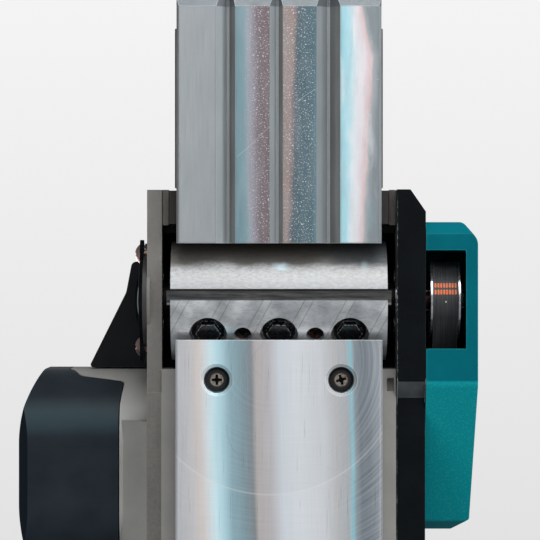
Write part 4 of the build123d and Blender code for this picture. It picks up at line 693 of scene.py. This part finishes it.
def dress(frame):
    """Gives every CAD node its material."""
    nodes = frame["nodes"]
    low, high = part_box("rear_base_screws")
    screw_x = high.x - SCREW_HEAD_RADIUS
    screw_ys = (high.y - SCREW_HEAD_RADIUS, low.y + SCREW_HEAD_RADIUS)
    places = [(side * screw_x, y) for side in (-1, 1) for y in screw_ys]
    black = moulded("black_plastic", srgb(12, 14, 17), srgb(19, 21, 24), 0.42, srgb(60, 66, 70))
    pale_edge = srgb(80, 84, 88)
    satin_black = moulded("satin_black", srgb(20, 22, 24), srgb(30, 32, 34), 0.36, pale_edge, 0.5 * MM)
    white = moulded("white_plastic", srgb(196, 196, 190), srgb(208, 208, 204), 0.4, srgb(230, 230, 226))
    steel = plated("plated_steel", srgb(176, 178, 182))
    bright = plated("bright_steel", srgb(216, 218, 222), 0.22)
    bolts = black_bolt()
    groups = {
        cast_paint(): ["main_frame"],
        machined_rear(): ["rear_base"],
        machined_front(): ["front_base"],
        sole_screw(places): ["rear_base_screws"],
        turned_drum(): ["cutter_drum", "drum_pulley", "motor_pulley"],
        ground_blade(): ["planer_blade_1", "planer_blade_2"],
        ground_clamp(): ["blade_clamp_1", "blade_clamp_2"],
        bolts: ["clamp_bolts", "drum_pulley_nut", "motor_pulley_nut"],
        oiled_screw(): ["setting_screws"],
        oiled_sleeve(): ["pulley_spacer"],
        steel: [
            "belt_case_screws", "belt_cover_screws", "chip_chute_screws",
            "motor_end_cap_screws", "handle_screws", "depth_stud", "trigger_pin",
            "foot_pin", "armature_shaft",
        ],
        plated("oiled_steel", srgb(34, 32, 30), 0.55): ["drum_shaft"],
        bright: [
            "drum_pulley_flanges", "drum_bearing_left", "drum_bearing_right",
            "motor_bearing_left", "motor_bearing_right",
        ],
        plated("brass", srgb(190, 150, 80)): ["brush_holders"],
        plated("rosy_steel", srgb(150, 122, 114), 0.42): ["bearing_cover_screws"],
        copper(): ["field_coils", "armature_windings", "commutator"],
        laminated_iron(): ["stator_core", "armature_core"],
        black: ["chip_chute", "cooling_fan", "fan_baffle", "switch_body", "carbon_brushes"],
        cover_black(): ["bearing_cover"],
        satin_black: [
            "cord_gland", "trigger", "lock_off_button", "standing_foot",
            "front_knob", "knob_cap",
        ],
        cap_plastic(): ["motor_end_cap"],
        case_plastic(): ["belt_case"],
        teal_plastic(): ["belt_cover", "handle_left", "handle_right"],
        white: ["depth_scale_ring"],
        soft_rubber(): ["handle_grip"],
        belt_rubber(): ["drive_belt"],
    }
    for material, names in groups.items():
        for name in names:
            mesh = nodes[name].data
            mesh.materials.clear()
            mesh.materials.append(material)


# --- Printed marks ------------------------------------------------------------------------

def rounded_bar(length, width):
    """Outline of a flat bar with rounded ends, length along v."""
    radius = width / 2
    half = length / 2 - radius
    outline = []
    for middle, start in [(half, 0), (-half, pi)]:
        for step in range(9):
            angle = start + pi * step / 8
            outline.append((radius * cos(angle), middle + radius * sin(angle)))
    return outline


def printed(name, outlines, wrap, material, body):
    """Thin printed shapes; wrap turns a point (u, v) of an outline into a place on the surface."""
    mesh = bpy.data.meshes.new(name)
    shapes = bmesh.new()
    for outline in outlines:
        shapes.faces.new([shapes.verts.new(wrap(u, v)) for u, v in outline])
    shapes.to_mesh(mesh)
    shapes.free()
    mesh.materials.append(material)
    piece = bpy.data.objects.new(name, mesh)
    thick = piece.modifiers.new("ink", "SOLIDIFY")
    thick.thickness = INK
    bpy.context.scene.collection.objects.link(piece)
    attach(piece, body)


def belt_marks():
    """Two rows of short orange gauge dashes and a white dot on the belt's outer face."""
    belt_low, belt_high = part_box("drive_belt")
    pulley_low, pulley_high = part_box("drum_pulley")
    axis = (pulley_low + pulley_high) / 2
    radius = axis.z - belt_low.z + PRINT_GAP

    def wrap(x, arc):
        angle = arc / radius
        return (x, axis.y + radius * sin(angle), axis.z - radius * cos(angle))

    dash = rounded_bar(1.9 * MM, 0.75 * MM)
    first_column, column_step = 1.5 * MM, 2.1 * MM
    first_row, row_step = 3.2 * MM, 2.6 * MM
    half_gap = 0.55 * MM
    dashes = []
    for column in range(4):
        for row in range(2):
            x = belt_low.x + first_column + column_step * column
            arc = first_row + row_step * row
            for aside in (-half_gap, half_gap):
                dashes.append([(x + aside + u, arc + v) for u, v in dash])
    orange = ink("orange_ink", srgb(236, 124, 60), srgb(190, 80, 34))
    printed("belt_dashes", dashes, wrap, orange, "planer_body")
    middle = (belt_low.x + belt_high.x) / 2
    dot = [(middle + u, v - 0.4 * MM) for u, v in rounded_bar(0.62 * MM, 0.6 * MM)]
    white = ink("white_ink", srgb(220, 220, 216), srgb(150, 150, 146))
    printed("belt_dot", [dot], wrap, white, "planer_body")


def scale_marks():
    """Plain tick marks round the depth ring, every fifth one longer."""
    low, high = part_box("depth_scale_ring")
    centre = (low + high) / 2
    radius = (high.x - low.x) / 2 + PRINT_GAP

    def wrap(arc, z):
        angle = arc / radius
        return (centre.x + radius * sin(angle), centre.y - radius * cos(angle), z)

    ticks = []
    count = 50
    for tick in range(count):
        length = 3.4 * MM if tick % 5 == 0 else 1.8 * MM
        arc = radius * tick * 2 * pi / count
        z = low.z + 0.6 * MM + length / 2
        ticks.append([(arc + u, z + v) for u, v in rounded_bar(length, 0.4 * MM)])
    black = ink("black_ink", srgb(24, 24, 24), srgb(60, 60, 60))
    printed("scale_ticks", ticks, wrap, black, "depth_knob")


# --- Depth spring -------------------------------------------------------------------------

def depth_spring():
    """Round-wire spring over the depth stud."""
    low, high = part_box("depth_spring")
    middle = (low + high) / 2
    wire = SPRING_WIRE / 2
    radius = (high.x - low.x) / 2 - wire
    rise = high.z - low.z - SPRING_WIRE
    around, steps = 12, 30 * SPRING_TURNS
    shapes = bmesh.new()
    rings = []
    for step in range(steps + 1):
        turn = 2 * pi * SPRING_TURNS * step / steps
        ring = []
        for side in range(around):
            angle = 2 * pi * side / around
            reach = radius + wire * cos(angle)
            z = low.z + wire + rise * step / steps + wire * sin(angle)
            x, y = middle.x + reach * cos(turn), middle.y + reach * sin(turn)
            ring.append(shapes.verts.new((x, y, z)))
        rings.append(ring)
    for lower, upper in zip(rings, rings[1:]):
        for side in range(around):
            after = (side + 1) % around
            shapes.faces.new((lower[side], upper[side], upper[after], lower[after])).smooth = True
    shapes.faces.new(rings[0])
    shapes.faces.new(rings[-1])
    bmesh.ops.recalc_face_normals(shapes, faces=shapes.faces)
    mesh = bpy.data.meshes.new("spring_coil")
    shapes.to_mesh(mesh)
    shapes.free()
    mesh.materials.append(plated("spring_steel", srgb(160, 162, 166), 0.34))
    coil = bpy.data.objects.new("spring_coil", mesh)
    bpy.context.scene.collection.objects.link(coil)
    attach(coil, "planer_body")
    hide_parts("depth_spring")
    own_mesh(coil)


# --- Stage --------------------------------------------------------------------------------

def floor():
    """Pale floor under the soles, seen from above only; it fades out far from the planer."""
    s = Surface("floor", srgb(204, 204, 204), 0.9)
    grain = s.noise(4 * MM, 3)
    s.set("Base Color", s.mix(s.between(grain, 0.3, 0.7), srgb(198, 198, 198), srgb(208, 208, 208)))
    behind = s.node("ShaderNodeNewGeometry").outputs["Backfacing"]
    far = s.node("ShaderNodeVectorMath", {0: s.place}, operation="LENGTH").outputs["Value"]
    gone = s.either(behind, s.between(far, FLOOR_WHOLE, FLOOR_GONE))
    clear = s.node("ShaderNodeBsdfTransparent")
    either = s.node("ShaderNodeMixShader", {0: gone, 1: s.shader.outputs[0], 2: clear.outputs[0]})
    s.tree.links.new(either.outputs[0], s.tree.nodes["Material Output"].inputs["Surface"])
    mesh = bpy.data.meshes.new("floor")
    half = FLOOR_HALF
    corners = [(-half, -half, 0), (half, -half, 0), (half, half, 0), (-half, half, 0)]
    mesh.from_pydata(corners, [], [(0, 1, 2, 3)])
    mesh.materials.append(s.material)
    plane = bpy.data.objects.new("floor", mesh)
    plane.location.z = -FLOOR_GAP
    plane.visible_shadow = False
    plane.visible_diffuse = False
    plane.visible_glossy = False
    bpy.context.scene.collection.objects.link(plane)


def soft_light(name, place, target, size, power):
    """Area lamp at a place, turned to the target; the camera doesn't see it."""
    light = bpy.data.lights.new(name, "AREA")
    light.shape = "RECTANGLE"
    light.size, light.size_y = size
    light.energy = power
    lamp = bpy.data.objects.new(name, light)
    lamp.location = place
    way = Vector(target) - Vector(place)
    lamp.rotation_euler = way.to_track_quat("-Z", "Y").to_euler()
    lamp.visible_camera = False
    bpy.context.scene.collection.objects.link(lamp)


def studio(aim):
    """Even pale surroundings, with soft lights below, in front and above."""
    world = bpy.data.worlds.new("studio")
    bpy.context.scene.world = world
    world.use_nodes = True
    tree = world.node_tree
    tree.nodes.clear()
    # The camera sees a grey that is a little paler towards the machine's front.
    seen = tree.nodes.new("ShaderNodeBackground")
    way = tree.nodes.new("ShaderNodeTexCoord")
    split = tree.nodes.new("ShaderNodeSeparateXYZ")
    shade = tree.nodes.new("ShaderNodeMapRange")
    shade.inputs["From Min"].default_value = -0.1
    shade.inputs["From Max"].default_value = 0.1
    shade.inputs["To Min"].default_value = srgb(226, 226, 226)[0]
    shade.inputs["To Max"].default_value = srgb(244, 244, 244)[0]
    tree.links.new(way.outputs["Generated"], split.inputs[0])
    tree.links.new(split.outputs["Y"], shade.inputs["Value"])
    tree.links.new(shade.outputs[0], seen.inputs["Color"])
    # Everything else is lit by a weak, slightly blue sky.
    lit = tree.nodes.new("ShaderNodeBackground")
    lit.inputs["Color"].default_value = (0.9, 0.95, 1.0, 1)
    lit.inputs["Strength"].default_value = 0.3
    path = tree.nodes.new("ShaderNodeLightPath")
    either = tree.nodes.new("ShaderNodeMixShader")
    out = tree.nodes.new("ShaderNodeOutputWorld")
    tree.links.new(path.outputs["Is Camera Ray"], either.inputs[0])
    tree.links.new(lit.outputs[0], either.inputs[1])
    tree.links.new(seen.outputs[0], either.inputs[2])
    tree.links.new(either.outputs[0], out.inputs[0])
    soft_light("key_below", (aim.x - 0.25, aim.y + 1.05, -0.75), aim, (1.1, 0.6), 10)
    soft_light("key_front", (aim.x - 0.1, aim.y + 0.62, -0.95), aim, (1.1, 0.5), 4.5)
    soft_light("fill_left", (aim.x - 1.0, aim.y + 0.1, -0.8), aim, (0.8, 0.8), 8)
    soft_light("fill_right", (aim.x + 1.0, aim.y - 0.4, -0.9), aim, (0.8, 0.8), 4.5)
    soft_light("key_above", (0.9, -0.6, 1.5), aim, (1.2, 1.2), 30)
    soft_light("fill_above", (-1.1, 0.8, 1.2), aim, (1.2, 1.2), 18)


def camera(aim):
    """Looks straight up at the soles, with the planer's front at the top of the picture."""
    data = bpy.data.cameras.new("camera")
    data.sensor_width = SENSOR
    data.lens = SENSOR * CAMERA_DISTANCE / VIEW_WIDTH
    cam = bpy.data.objects.new("camera", data)
    cam.location = (aim.x, aim.y, -CAMERA_DISTANCE)
    cam.rotation_euler = (0, pi, 0)
    bpy.context.scene.collection.objects.link(cam)
    bpy.context.scene.camera = cam


# --- Scene --------------------------------------------------------------------------------

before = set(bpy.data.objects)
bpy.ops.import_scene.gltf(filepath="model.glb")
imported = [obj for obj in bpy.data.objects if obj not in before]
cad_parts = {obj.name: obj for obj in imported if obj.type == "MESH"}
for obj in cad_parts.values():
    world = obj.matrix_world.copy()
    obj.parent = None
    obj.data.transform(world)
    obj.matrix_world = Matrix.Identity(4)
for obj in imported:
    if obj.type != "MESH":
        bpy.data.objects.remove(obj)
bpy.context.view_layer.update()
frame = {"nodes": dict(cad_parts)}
dress(frame)
belt_marks()
scale_marks()
depth_spring()

drum_low, drum_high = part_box("cutter_drum")
drum_y = (drum_low.y + drum_high.y) / 2
aim = Vector((VIEW_MIDDLE_X, drum_y + VIEW_BEFORE_DRUM, 0))

floor()
studio(aim)
camera(aim)
bpy.context.scene.view_settings.view_transform = "Standard"
